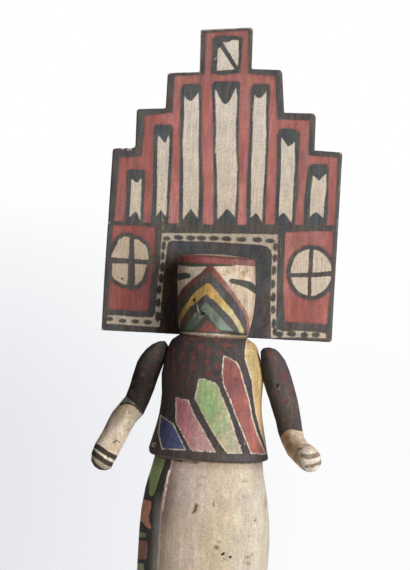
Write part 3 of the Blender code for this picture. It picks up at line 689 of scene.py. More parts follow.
class Wood:
    """A dense copy of one carved piece: points and normals in millimetres, and the paint laid on it."""

    def __init__(self, node, name, voxel):
        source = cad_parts[node]
        shape = bpy.data.objects.new(name, source.data.copy())
        bpy.context.scene.collection.objects.link(shape)
        shape.matrix_world = source.matrix_world.copy()
        remesh = shape.modifiers.new("Fine skin", "REMESH")
        remesh.mode = "VOXEL"
        remesh.voxel_size = voxel
        remesh.adaptivity = 0.0
        fit = shape.modifiers.new("Back on the carving", "SHRINKWRAP")
        fit.target = source
        fit.wrap_method = "NEAREST_SURFACEPOINT"
        bpy.context.view_layer.update()
        evaluated = shape.evaluated_get(bpy.context.evaluated_depsgraph_get())
        mesh = bpy.data.meshes.new_from_object(evaluated)
        mesh.name = name
        old = shape.data
        shape.modifiers.clear()
        shape.data = mesh
        bpy.data.meshes.remove(old)
        self.object = shape
        self.mesh = mesh
        self.node = node
        self.points = self.read("vertices", "co", 3) / MM
        self.count = len(self.points)
        self.normals = self.read("vertices", "normal", 3)
        self.edges = self.read("edges", "vertices", 2, int)
        self.ends = np.maximum(np.bincount(self.edges.ravel(), minlength=self.count), 1)
        self.layers = {}
        self.colours = {}

    def read(self, group, field, width, kind=float):
        """One field of the mesh as an array."""
        items = getattr(self.mesh, group)
        values = np.empty(len(items) * width, dtype=kind)
        items.foreach_get(field, values)
        return values.reshape(-1, width)

    def averaged(self, values, rounds):
        """Values evened out between neighbours."""
        first, second = self.edges.T
        for _ in range(rounds):
            total = np.bincount(first, values[second], self.count)
            total += np.bincount(second, values[first], self.count)
            values = 0.5 * values + 0.5 * total / self.ends
        return values

    def ridges(self, rounds):
        """Above 0 on outer edges, below 0 in corners, evened out over a few points."""
        first, second = self.edges.T
        step = self.points[second] - self.points[first]
        length = np.maximum(np.linalg.norm(step, axis=1), 1e-6)
        bend = np.bincount(first, -np.sum(step * self.normals[first], axis=1) / length, self.count)
        bend += np.bincount(second, np.sum(step * self.normals[second], axis=1) / length, self.count)
        return self.averaged(bend / self.ends, rounds)

    def noise(self, size, number):
        """Smooth random numbers on the piece. number tells one pattern from another."""
        return value_noise(self.points, size, SEED + number)

    def evenly(self, colour):
        """One colour for every point."""
        return np.tile(np.asarray(colour, dtype=float), (self.count, 1))

    def washed(self, colours, strength, number):
        """Colours laid as a wash that is thick and thin and turns warm or green by places."""
        warm = self.noise((3.5, 3.5, 9.0), number)
        green = self.noise((4.5, 4.5, 7.0), number + 1)
        thick = self.noise((1.4, 1.4, 6.0), number + 2)
        tint = np.column_stack((
            1.0 + strength * 0.12 * warm,
            1.0 + strength * 0.06 * green,
            1.0 - strength * (0.08 * warm + 0.05 * green),
        ))
        return colours * tint * (1.0 + strength * 0.22 * thick[:, None])

    def coat(self, name, colours, distance):
        """Lays one coat of paint: its colours, and the distance to its edge, negative inside it."""
        self.colours[name] = colours
        self.layers[name + "_edge"] = distance

    def move(self, outward):
        """Moves each point along its normal by so many millimetres."""
        self.points = self.points + self.normals * outward[:, None]

    def sink(self, distance, depth, low, high):
        """Sinks a mark into the wood, full depth at distance low and none from high on."""
        self.move(-depth * (1.0 - smooth_step(distance, low, high)))

    def finish(self, material):
        """Writes the points and the paint into the mesh and hangs the piece on the frame."""
        self.mesh.vertices.foreach_set("co", (self.points * MM).ravel())
        for name, values in self.layers.items():
            layer = self.mesh.attributes.new(name, "FLOAT", "POINT")
            layer.data.foreach_set("value", np.asarray(values, dtype=np.float32))
        for name, values in self.colours.items():
            layer = self.mesh.attributes.new(name, "FLOAT_COLOR", "POINT")
            with_alpha = np.column_stack((values, np.ones(self.count)))
            layer.data.foreach_set("color", with_alpha.astype(np.float32).ravel())
        self.mesh.polygons.foreach_set("use_smooth", np.ones(len(self.mesh.polygons), dtype=bool))
        self.mesh.materials.clear()
        self.mesh.materials.append(material)
        self.mesh.update()
        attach(self.object, "root")
        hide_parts(self.node)


def blended(first, second, share):
    """Colours from first to second by share, 0 to 1, at each point."""
    return np.asarray(first) * (1.0 - share[:, None]) + np.asarray(second) * share[:, None]


def between(first, second, share):
    """Colours from one hex code to another by share."""
    return blended(linear(first), linear(second), share)


def tinted(colours, share, change):
    """Colours made brighter by change, one number or one for each channel, where share is 1."""
    return colours * (1.0 + share[:, None] * np.asarray(change))


def stained(across, up, ovals):
    """Strength of soft stains, 0 to 1. Each is an oval: middle, half sizes, strength."""
    total = np.zeros(len(across))
    for middle, halves, strength in ovals:
        distance = oval_distance(across, up, middle, halves)
        inside = 1.0 - smooth_step(distance, -min(halves), 0.6 * min(halves))
        total = np.maximum(total, strength * inside)
    return total


class Patches:
    """Coloured shapes of one piece. Each point keeps the nearest shape and its colour."""

    def __init__(self, count):
        self.distance = np.full(count, FAR)
        self.colour = np.zeros((count, 3))

    def add(self, distance, colour):
        """Lays one shape. colour is one colour or one for each point."""
        colour = np.broadcast_to(colour, self.colour.shape)
        nearer = distance < self.distance
        self.colour[nearer] = colour[nearer]
        self.distance = np.minimum(self.distance, distance)

    def cut(self, distance):
        """Takes a shape away from what is laid so far."""
        self.distance = np.maximum(self.distance, -distance)


def add_node(tree, kind, inputs=None, **settings):
    """Adds a shader node with its settings. An input is a value, or a socket that gets linked."""
    node = tree.nodes.new("ShaderNode" + kind)
    for name, value in settings.items():
        setattr(node, name, value)
    for key, value in (inputs or {}).items():
        if isinstance(value, bpy.types.NodeSocket):
            tree.links.new(value, node.inputs[key])
        else:
            node.inputs[key].default_value = value
    return node


def new_material(name):
    """A material without nodes, what adds nodes to it, and the place on the object in metres."""
    material = bpy.data.materials.new(name)
    material.use_nodes = True
    material.node_tree.nodes.clear()
    add = partial(add_node, material.node_tree)
    return material, add, add("TexCoord").outputs["Object"]


def in_units_of(add, place, size):
    """The place on the object, counted in units of size millimetres along each axis."""
    return add("Mapping", {"Vector": place, "Scale": [1000.0 / s for s in size]}).outputs[0]


def soaked(add, colour, code, share):
    """Multiplies colour by the shade of a stain, as far as share says."""
    stain = add(
        "Mix", {0: 1.0, 6: colour, 7: opaque(code)}, data_type="RGBA", blend_type="MULTIPLY"
    ).outputs[2]
    return add("Mix", {0: share, 6: colour, 7: stain}, data_type="RGBA").outputs[2]


def laid_over(add, below, above, distance, soft):
    """Mixes above over below where distance is under zero, with an edge soft millimetres wide."""
    mask = add(
        "MapRange", {0: distance, 1: soft, 2: -soft, 3: 0.0, 4: 1.0}, interpolation_type="SMOOTHSTEP"
    ).outputs[0]
    return add("Mix", {0: mask, 6: below, 7: above}, data_type="RGBA").outputs[2]


def painted_cottonwood(name, look):
    """Matte mineral paint, brushed by hand on carved cottonwood without a ground.

    The paint is chalky and has no gloss. It is thin, so the long grain shows through as streaks,
    the black turns brown, green and blue by places, and on edges it is rubbed off to pale wood.
    """
    material, add, place = new_material(name)
    in_mm = in_units_of(add, place, (1.0, 1.0, 1.0))
    along_grain = in_units_of(add, place, (GRAIN_WIDTH, GRAIN_WIDTH, look["length"]))
    noise = {}
    for pattern, (size, detail, roughness) in PAINT_PATTERNS.items():
        noise[pattern] = add(
            "TexNoise", {"Vector": in_mm, "Scale": 1 / size, "Detail": detail, "Roughness": roughness}
        ).outputs[0]
    noise["streak"] = add(
        "TexNoise", {"Vector": along_grain, "Scale": 1.0, "Detail": 3.0, "Roughness": 0.6}
    ).outputs[0]

    # The brush and the dry paint move each painted edge by up to a quarter of a millimetre
    shift = add("Math", {0: noise["wobble"], 1: 0.5, 2: -0.25}, operation="MULTIPLY_ADD").outputs[0]
    shift = add("Math", {0: noise["ragged"], 1: 0.5, 2: shift}, operation="MULTIPLY_ADD").outputs[0]

    def edge_of(layer):
        """The distance to a painted shape, moved by the brush."""
        stored = add("Attribute", attribute_name=layer).outputs["Fac"]
        moved = add("Math", {0: stored, 1: shift}, operation="ADD").outputs[0]
        return add("Math", {0: moved, 1: 0.25}, operation="SUBTRACT").outputs[0]

    def paint_of(layer):
        """The colour kept at each point for one coat of paint."""
        return add("Attribute", attribute_name=layer).outputs["Color"]

    colour = laid_over(add, paint_of("ground"), paint_of("dark"), edge_of("dark_edge"), 0.25)
    colour = laid_over(add, colour, paint_of("patch"), edge_of("patch_edge"), 0.28)
    colour = laid_over(add, colour, paint_of("trim"), edge_of("trim_edge"), 0.2)
    colour = laid_over(add, colour, paint_of("spot"), edge_of("spot_edge"), 0.8)

    # Thicker and thinner paint
    gain = {}
    for pattern in ("cloud", "mottle", "streak"):
        share = look[pattern]
        gain[pattern] = add(
            "MapRange", {0: noise[pattern], 1: 0.28, 2: 0.72, 3: 1.0 - share, 4: 1.0 + share}
        ).outputs[0]
    both = add("Math", {0: gain["cloud"], 1: gain["mottle"]}, operation="MULTIPLY").outputs[0]
    both = add("Math", {0: both, 1: gain["streak"]}, operation="MULTIPLY").outputs[0]
    colour = add("VectorMath", {0: colour, "Scale": both}, operation="SCALE").outputs[0]

    # Dust on the grit of the pigment, and brown specks where dirt sits in the pores
    dust = add("MapRange", {0: noise["grit"], 1: 0.52, 2: 0.74, 3: 0.0, 4: look["dust"]}).outputs[0]
    colour = add("Mix", {0: dust, 6: colour, 7: opaque("96836f")}, data_type="RGBA").outputs[2]
    pores = in_units_of(add, place, PORE_SIZE)
    specks = add(
        "TexNoise", {"Vector": pores, "Scale": 1.0, "Detail": 2.0, "Roughness": 0.6}
    ).outputs[0]
    specks = add("MapRange", {0: specks, 1: 0.6, 2: 0.74, 3: 0.0, 4: look["speck"]}).outputs[0]
    colour = soaked(add, colour, "8c6f58", specks)

    # Bare wood on rubbed edges and in chips
    wood = blend_of_wood(add, along_grain)
    worn = add("Attribute", attribute_name="worn").outputs["Fac"]
    rubbed = add("Math", {0: noise["grit"], 1: 0.9, 2: worn}, operation="MULTIPLY_ADD").outputs[0]
    rubbed = add(
        "MapRange", {0: rubbed, 1: 0.95, 2: 1.25, 3: 0.0, 4: 0.85}, interpolation_type="SMOOTHSTEP"
    ).outputs[0]
    colour = add("Mix", {0: rubbed, 6: colour, 7: wood}, data_type="RGBA").outputs[2]
    colour = laid_over(add, colour, wood, edge_of("chip_edge"), 0.2)
    # Dark pits, and a spot of painted shade in the gap between an arm and the body
    colour = laid_over(add, colour, opaque("2a211b"), edge_of("pit_edge"), 0.25)

    # Darker and browner in corners, handling dirt and stains, and on the figure painted shade beside the
    # sash
    dirt = add("Attribute", attribute_name="dirt").outputs["Fac"]
    dirt = add("Math", {0: dirt, 1: gain["cloud"]}, operation="MULTIPLY", use_clamp=True).outputs[0]
    colour = soaked(add, colour, "8c7355", dirt)

    matte = add("MapRange", {0: noise["cloud"], 1: 0.2, 2: 0.8, 3: 0.78, 4: 0.95}).outputs[0]
    height = add(
        "Math", {0: noise["streak"], 1: 1.0, 2: noise["grit"]}, operation="MULTIPLY_ADD"
    ).outputs[0]
    bump = add("Bump", {"Strength": look["bump"], "Distance": 0.12 * MM, "Height": height}).outputs[0]
    shader = add(
        "BsdfPrincipled", {"Base Color": colour, "Roughness": matte, "Normal": bump, "IOR": 1.45}
    )
    add("OutputMaterial", {0: shader.outputs[0]})
    return material


def blend_of_wood(add, along_grain):
    """Bare cottonwood, cut with a knife and greyed by handling: pale, with darker long pores."""
    pores = add(
        "TexNoise", {"Vector": along_grain, "Scale": 1.6, "Detail": 4.0, "Roughness": 0.6}
    ).outputs[0]
    share = add("MapRange", {0: pores, 1: 0.35, 2: 0.7}).outputs[0]
    return add("Mix", {0: share, 6: opaque("cabda9"), 7: opaque("9a876f")}, data_type="RGBA").outputs[2]


def carved_base_wood(name):
    """Plain cottonwood slab, cut by hand and oiled by handling: long brown grain and soft gloss."""
    material, add, place = new_material(name)
    along = in_units_of(add, place, BASE_GRAIN)
    bands = add("TexNoise", {"Vector": along, "Scale": 1.0, "Detail": 4.0, "Roughness": 0.6}).outputs[0]
    fine = add("TexNoise", {"Vector": along, "Scale": 4.0, "Detail": 3.0, "Roughness": 0.6}).outputs[0]
    share = add("MapRange", {0: bands, 1: 0.3, 2: 0.7}).outputs[0]
    colour = add(
        "Mix", {0: share, 6: opaque("b79a74"), 7: opaque("8a6b48")}, data_type="RGBA"
    ).outputs[2]
    gain = add("MapRange", {0: fine, 1: 0.3, 2: 0.7, 3: 1.08, 4: 0.86}).outputs[0]
    colour = add("VectorMath", {0: colour, "Scale": gain}, operation="SCALE").outputs[0]
    dirt = add("Attribute", attribute_name="dirt").outputs["Fac"]
    colour = soaked(add, colour, "8c7355", dirt)
    bump = add("Bump", {"Strength": 0.5, "Distance": 0.15 * MM, "Height": fine}).outputs[0]
    shader = add(
        "BsdfPrincipled", {"Base Color": colour, "Roughness": 0.6, "Normal": bump, "IOR": 1.45}
    )
    add("OutputMaterial", {0: shader.outputs[0]})
    return material


def hand_cut(wood, depth):
    """Unevenness of a knife-cut and rubbed surface: long shallow waves and small ones."""
    waves = wood.noise((9.0, 9.0, 34.0), 0)
    small = wood.noise((2.6, 2.6, 8.0), 1)
    wood.move(depth * (0.75 * waves + 0.25 * small))


def worn_edges_and_dark_corners(wood):
    """Rubbing on outer edges, and how much darker and browner the corners are, 0 to 1."""
    ridge = wood.ridges(rounds=3)
    uneven = 0.5 + 0.5 * wood.noise(5.0, 2)
    worn = smooth_step(ridge, 0.05, 0.2) * (0.35 + 0.65 * uneven)
    dirt = smooth_step(-ridge, 0.03, 0.15) * 0.8
    return worn, dirt


def shape_board(settings):
    """The stepped board: red field, ribbon columns, two wheels and the dotted band."""
    paint = settings.colours
    wood = Wood("tablita", "painted_board", settings.carving.skin)
    across, up = as_seen(wood.points)
    front = smooth_step(-wood.normals[:, 1], 0.35, 0.7)
    back = smooth_step(wood.normals[:, 1], 0.35, 0.7)
    worn, dirt = worn_edges_and_dark_corners(wood)

    # Red: brightest in the bars between the columns, dullest in the top square
    patches = Patches(wood.count)
    field = outline_distance(across, up, RED_FIELD)
    in_field = smooth_step(field, 0.5, -1.5)
    for hole in [ground for ground, _ in COLUMNS] + [TOP_FRAME]:
        field = np.maximum(field, -outline_distance(across, up, hole))
    lit = smooth_step(wood.noise((8.0, 8.0, 30.0), 5), -0.6, 0.8)
    red = wood.washed(blended(paint.board_red, linear("b37b74"), 0.7 * lit), 0.8, 21)
    bright = 0.85 + 0.15 * smooth_step(up, 314.0, 306.0)
    bright += 0.2 * smooth_step(up, 303.0, 285.0) * smooth_step(np.abs(across), 34.0, 28.0)
    red *= bright[:, None]
    patches.add(field, tinted(red, smooth_step(field, -1.0, 0.0), -0.2))
    discs = np.minimum(
        outline_distance(across, up, RIGHT_WHEEL) + RIGHT_WHEEL_INSET,
        oval_distance(across, up, *LEFT_WHEEL),
    )
    discs += 0.35 * wood.noise(5.0, 15)
    # The panel at the doll's right is laid darker here, as painted shade
    for outline, tint in zip(PANELS, PANEL_PAINTED_SHADE):
        panel = np.maximum(outline_distance(across, up, outline), WHEEL_RING - discs)
        patches.add(panel, tinted(red * tint, smooth_step(panel, -1.2, 0.0), -0.2))

    # Cream: ribbons, top square, wheels and dotted band
    cream = blended(paint.cream, linear("cbb89c"), 0.5 * smooth_step(up, 300.0, 225.0))
    for outline in [ribbon for _, ribbon in COLUMNS] + list(TOP_CREAMS):
        patches.add(outline_distance(across, up, outline), cream)
    bars = np.minimum.reduce([outline_distance(across, up, bar) for bar in WHEEL_BARS])
    # Wheel cream darkens towards the doll's right, painted shade like that of the panel
    wheel_cream_painted_shade = between("c6b29b", "d3c2af", smooth_step(across, -40.0, 40.0))
    patches.add(np.maximum(discs, -bars), wheel_cream_painted_shade)
    dots = [((x, z), (length, width)) for x, z, length, width in LYING_DOTS]
    dots += [((x, z), (width, length)) for x, z, length, width in UPRIGHT_DOTS]
    band = outline_distance(across, up, DOTTED_BAND)
    band = np.maximum(band, DOT_GAP - marks_distance(across, up, ovals=dots))
    patches.add(band, between("c8b8a4", "baab97", smooth_step(up, 219.0, 225.0)))

    # Black: darker and browner beside the head as its painted shadow, darker just above the head, and bluer
    # between the columns. The back has only a thin wash of cream
    black = wood.washed(wood.evenly(paint.black), 1.6, 20)
    painted_head_shadow = smooth_step(np.abs(across + 24.0), 8.0, 3.0) * smooth_step(up, 222.0, 212.0)
    over_head = smooth_step(np.abs(across), 27.0, 22.0) * smooth_step(up, 228.0, 224.0)
    black = tinted(black, painted_head_shadow, (-0.3, -0.55, -0.65))
    black = tinted(black, in_field, (-0.14, 0.05, 0.15))
    black = tinted(black, over_head, (-0.28, -0.18, -0.12))
    nowhere = np.full(wood.count, ABSENT)
    wood.colours["ground"] = blended(black, linear("a89a84"), back)
    wood.coat("dark", black, nowhere)
    wood.coat("patch", patches.colour, np.where(front > 0.5, patches.distance, ABSENT))
    wood.coat("trim", cream, nowhere)
    wood.coat("spot", black, nowhere)

    rubbed = marks_distance(across, up, strokes=BOARD_RUBBED)
    for name, marks in (("chip_edge", BOARD_CHIPS), ("pit_edge", BOARD_PITS)):
        wood.layers[name] = np.where(front > 0.2, marks_distance(across, up, **marks), ABSENT)
    wood.layers["worn"] = np.maximum(worn, 0.75 * smooth_step(-rubbed, -0.6, 0.2))
    wood.layers["dirt"] = dirt
    hand_cut(wood, settings.carving.unevenness / MM * BOARD_EVENNESS)
    for middle, halves, depth in BOARD_DENTS:
        wood.sink(oval_distance(across, up, middle, halves), depth, -min(halves), 0.25)
    material = painted_cottonwood("Brushed mineral paint on cottonwood board", BOARD_LOOK)
    wood.finish(material)


def trim_sash(wood, across, sash, skirt):
    """Cuts the front edge of the hanging sash back to its painted line, down to the plain skirt."""
    middle, ratio = SKIRT_AXIS
    height = wood.points[:, 2]
    radius = np.hypot(wood.points[:, 0] - middle, wood.points[:, 1] / ratio)
    plain = skirt & (np.abs(across) < 12.0)
    levels = np.arange(SKIRT_HEM, SHIRT_HEM, 1.0)
    plain_radius = []
    for level in levels:
        ring = plain & (np.abs(height - level) < 0.8)
        plain_radius.append(np.median(radius[ring]))
    proud = np.clip(radius - np.interp(height, levels, plain_radius), 0.0, 1.2)
    cut = proud * smooth_step(sash, 0.0, 0.5) * (skirt & (across < -10.0) & (height > SKIRT_HEM + 1.0))
    wood.points[:, :2] *= 1.0 - (cut / radius)[:, None]


def face_ground(wood, face_cream):
    """Cream of the face, lit at one cheek and in shade at the side."""
    aside = wood.points[:, 0]
    by_places = 0.5 + 0.5 * wood.noise((6.0, 6.0, 12.0), 7)
    cream = wood.washed(blended(face_cream, linear("cdb69d"), by_places), 0.6, 28)
    cream = tinted(cream, smooth_step(aside, -5.0, -10.0), 0.15)
    return tinted(cream, smooth_step(aside, -13.0, -20.0), (-0.2, -0.32, -0.42))


def shirt_ground(wood, up):
    """Black of the shirt, greyer along its hem."""
    aside, _, height = wood.points.T
    turned = smooth_step(aside + 0.35 * (up - 150.0), 12.0, -16.0)
    black = tinted(between("443d3c", "3d3534", turned), smooth_step(height, 125.0, 121.0), 0.4)
    return wood.washed(black, 1.5, 24)


def skirt_ground(wood):
    """Cream of the skirt: warm in the middle, greyer to both sides, and darkest by the sash with painted
    shade at the doll's right. Painted light brightens its far edge and its top under the hem at the doll's
    left.
    """
    aside, _, height = wood.points.T
    cream = between("ccbaa8", "c4b499", smooth_step(aside, -2.0, 9.0))
    cream = tinted(cream, smooth_step(height, 84.0, 104.0), (0.05, 0.05, 0.14))
    cream = blended(cream, linear("c6bcac"), smooth_step(aside, 12.0, 25.0))
    # Painted light: a brighter rim along the far edge at the doll's left
    cream = tinted(cream, smooth_step(aside, 25.0, 31.0), 0.14)
    # Painted light on the top at the doll's left, where the hem's shadow falls
    cream = tinted(cream, smooth_step(aside, 12.0, 24.0) * smooth_step(height, 98.0, 110.0), 0.24)
    # Painted shade by the sash at the doll's right
    shaded = smooth_step(aside, -8.0, -19.0) * (0.24 + 0.3 * smooth_step(height, 72.0, 98.0))
    cream = wood.washed(tinted(cream, shaded, (-1.0, -1.2, -1.22)), 0.25, 22)
    return tinted(cream, wood.noise((5.0, 5.0, 16.0), 60), 0.05)


def paint_crown(wood, across, up, head, head_red, patches):
    """The red band round the top of the head, up to its cap. Returns the distance from the axis."""
    middle, ratio = HEAD_AXIS
    from_axis = np.hypot(wood.points[:, 0] - middle, wood.points[:, 1] / ratio)
    foot = np.interp(across, *zip(*CROWN_BAND_FOOT))
    band = np.maximum(foot - up, CROWN_CAP_RADIUS - from_axis) + np.where(head, 0.0, OFF_ZONE)
    red = wood.washed(blended(head_red, linear("8e635f"), smooth_step(across, -2.0, 14.0)), 0.9, 50)
    red = tinted(red, wood.noise((3.5, 3.5, 0.8), 55), 0.2)
    patches.add(band, tinted(red, smooth_step(band, -0.8, 0.0), -0.35))
    return from_axis


def paint_face(wood, across, up, on_face, patches, dark):
    """Chevrons, flecks, eyes and the line under the crown. Returns the distance to what is dark."""
    for seed, (outline, first, second, turn, wash) in enumerate(CHEVRONS, 51):
        shade = wood.washed(between(first, second, smooth_step(across, *turn)), wash, seed)
        patches.add(outline_distance(across, up, outline) + on_face, shade)
    flecks = marks_distance(across, up, ovals=[(middle, FLECK_HALVES) for middle in FACE_FLECKS])
    patches.add(flecks + on_face, linear("bf9c6f"))
    # The black goes on a little under the red
    darks = outline_distance(across, up, RED_INNER + CHEVRON_FEET) - 0.4
    for outline, code in FACE_DARKS:
        distance = outline_distance(across, up, outline)
        dark[(wood.points[:, 2] > NECK) & (distance < 0.9)] = linear(code)
        darks = np.minimum(darks, distance)
    return darks + on_face


def paint_rays(wood, across, up, on_shirt, patches):
    """The slanting rays and how the last one ends under the arm. Returns the distance to the rays."""
    rays = np.full(wood.count, FAR)
    for key, outline in RAYS.items():
        distance = outline_distance(across, up, outline) + on_shirt
        reach = [corner[0] for corner in outline]
        share = smooth_step(across - 0.1 * (up - 140.0), min(reach), max(reach))
        share = np.clip(share + 0.3 * wood.noise(3.5, 29), 0.0, 1.0)
        shade = wood.washed(between(*RAY_SHADES[key], share), 0.8, 30 + len(key))
        patches.add(distance, tinted(shade, wood.noise(0.9, 31), 0.14))
        rays = np.minimum(rays, distance)
    for path, width, code in RAY_ENDS:
        edge = stroke_distance(across, up, path, width) + on_shirt
        patches.cut(edge)
        patches.add(edge, linear(code))
    return rays


def dabs_of_shirt(wood, across, up, shirt, rays, carving):
    """Distance to the red dabs, scattered where the rays leave room, faded low and to the left."""
    aside, _, height = wood.points.T
    rng = np.random.default_rng(SEED)
    floor = SPOT_FLOOR + 0.55 * (aside + 20.0) + 4.0 * wood.noise(12.0, 3)
    room = shirt & (rays > 2.4) & (height > floor)
    places = scattered(wood.points[room], carving.spot_spacing / MM, MOST_SPOTS, rng)
    spots = spots_distance(wood.points, places, rng, carving.spot_size / MM, SPOT_STRETCH)
    faded = 0.8 * wood.noise((1.4, 1.4, 1.8), 6) + 0.9 * smooth_step(aside, -4.0, 14.0)
    faded += 0.7 * smooth_step(up, 156.0, 140.0)
    by_collar = oval_distance(across, up, *COLLAR_DAB) - 0.2
    return np.where(shirt, np.minimum(spots - 0.15, by_collar) + faded, ABSENT)


def dirt_and_shade_of_figure(wood, across, up, sash, head, skirt):
    """Stains and handling dirt, 0 to 1: on the skirt, also darker towards its foot and just under the
    shirt's hem; by the sash, dirt together with painted shade on the doll's right side; and on the face.
    """
    height = wood.points[:, 2]
    # Beside the sash, dirt and painted shade of the doll's right side
    dirt_and_shade_by_sash = 0.1 + 0.14 * smooth_step(up, 70.0, 92.0) + 0.3 * wood.noise((1.6, 1.6, 22.0), 10)
    dirt_and_shade_by_sash *= smooth_step(across, -7.0, -18.0) * (across > SASH_REACH)
    in_grain = 0.1 + 0.1 * wood.noise((1.3, 1.3, 9.0), 12) + 0.1 * wood.noise((5.0, 5.0, 10.0), 13)
    plain = skirt & ((sash > 0.3) | (across < SASH_REACH))
    low = 0.5 * smooth_step(height, 60.0, 24.0) * (0.5 + 0.5 * wood.noise(14.0, 9))
    at_hem = 0.45 * smooth_step(height, 110.0, 117.0)
    on_face = 0.18 + 0.3 * wood.noise((2.6, 2.6, 4.0), 4)
    return np.maximum.reduce([
        np.maximum.reduce([stained(across, up, SKIRT_STAINS), dirt_and_shade_by_sash, in_grain]) * plain,
        np.maximum(low, at_hem) * skirt,
        np.maximum(on_face, stained(across, up, FACE_STAINS)) * head,
    ])


def shape_figure(settings):
    """Head, shirt, skirt with its sash and boots, carved in one."""
    paint = settings.colours
    wood = Wood("figure", "painted_figure", settings.carving.body_skin)
    aside, _, height = wood.points.T
    head = height > NECK
    skirt = height < SHIRT_HEM
    shirt = ~head & ~skirt
    across = np.empty(wood.count)
    up = np.empty(wood.count)
    for zone, axis in ((head, HEAD_AXIS), (shirt, SHIRT_AXIS), (skirt, SKIRT_AXIS)):
        across[zone], up[zone] = as_wrapped(wood.points[zone], *axis)
    on_face = np.where(head & (wood.normals[:, 2] < 0.8), 0.0, OFF_ZONE)
    on_shirt = np.where(shirt, 0.0, OFF_ZONE)
    on_skirt = np.where(skirt & (height > SKIRT_HEM - 1.0), 0.0, OFF_ZONE)
    worn, dirt = worn_edges_and_dark_corners(wood)

    # Grounds of the three zones, and the dark paint on them
    shirt_black = shirt_ground(wood, up)
    ground = skirt_ground(wood)
    ground[head] = face_ground(wood, paint.face_cream)[head]
    ground[shirt] = shirt_black[shirt]
    dark = wood.evenly(paint.black)
    dark[head] = between("4d4235", "545355", smooth_step(aside, -17.0, 5.0))[head]
    dark = wood.washed(dark, 1.5, 23)

    patches = Patches(wood.count)
    from_axis = paint_crown(wood, across, up, head, paint.head_red, patches)
    darks = paint_face(wood, across, up, on_face, patches, dark)
    rays = paint_rays(wood, across, up, on_shirt, patches)
    spots = dabs_of_shirt(wood, across, up, shirt, rays, settings.carving)

    # The sash: a dark band with a bright edge, coloured blocks and a grey shade beside it
    sash = side_of_path(across, up, SASH_BAND)
    darks = np.minimum(darks, np.maximum(sash, SASH_REACH - across) + on_skirt)
    beside = smooth_step(across, -26.5, -23.0) * smooth_step(up, 100.0, 88.0)
    dark[skirt] = wood.washed(between("3f3c39", "837f76", beside), 1.0, 25)[skirt]
    beneath = smooth_step(np.abs(sash), 1.6, 0.4) * smooth_step(up, 94.0, 86.0) * skirt
    ground = tinted(ground, beneath, (-0.42, -0.36, -0.36))
    for path, width, code in SKIRT_MARKS:
        patches.add(stroke_distance(across, up, path, width) + on_skirt, linear(code))
    for key, outline in SASH_BLOCKS:
        shade = wood.washed(wood.evenly(linear(SASH_SHADES[key])), 0.8, 40)
        patches.add(outline_distance(across, up, outline) + on_skirt, shade)

    # Bright lines: round the rays, along the sash, where the line is partly a painted highlight on its
    # step, and scratched into the face
    trim = np.minimum(np.abs(rays) - RAY_TRIM, ABSENT)
    trim = np.minimum(trim, stroke_distance(across, up, *SASH_PALE_EDGE_AND_HIGHLIGHT) + on_skirt)
    scratches = [(path, SCRATCH_WIDTH) for path in SCRATCHES]
    trim = np.minimum(trim, marks_distance(across, up, strokes=scratches) + on_face)
    trim_colour = wood.evenly(linear("d1c4b3"))
    trim_colour[head] = linear("b2aea2")
    trim_colour[skirt] = linear("dcd4ca")

    # Boots are plain cream with a dark sole
    boots = height < SKIRT_HEM - 0.5
    ground[boots] = linear("cdbda4")
    darks = np.where(boots, np.maximum(height - SOLE_TOP, -20.0), darks)
    dark[boots] = shirt_black[boots]

    rim = 0.5 * smooth_step(from_axis, 13.4, 12.4) * head * (height > 214.0)
    hem = 0.75 * smooth_step(height, 118.4, 117.6) * smooth_step(aside, 6.0, -8.0) * shirt
    worn *= np.where(height < 119.0, 0.8, 1.0)
    wood.colours["ground"] = ground
    wood.coat("dark", dark, darks)
    wood.coat("patch", patches.colour, patches.distance)
    wood.coat("trim", trim_colour, trim)
    wood.coat("spot", between("6c3c39", "4f2f2d", smooth_step(up, 172.0, 146.0)), spots)
    wood.layers["worn"] = np.clip(np.maximum.reduce([worn, rim, hem]), 0.0, 1.0)
    stains_and_shade = dirt_and_shade_of_figure(wood, across, up, sash, head, skirt)
    wood.layers["dirt"] = np.clip(np.maximum(dirt, stains_and_shade), 0.0, 1.0)
    chips = marks_distance(across, up, **FIGURE_CHIPS)
    pits = marks_distance(across, up, **FIGURE_PITS)
    wood.layers.update({"chip_edge": chips, "pit_edge": pits})

    trim_sash(wood, across, sash, skirt)
    hand_cut(wood, settings.carving.unevenness / MM)
    wood.sink(pits, 0.35, -0.3, 0.5)
    wood.sink(chips, 0.2, -0.2, 0.4)
    material = painted_cottonwood("Brushed mineral paint on cottonwood figure", FIGURE_LOOK)
    wood.finish(material)


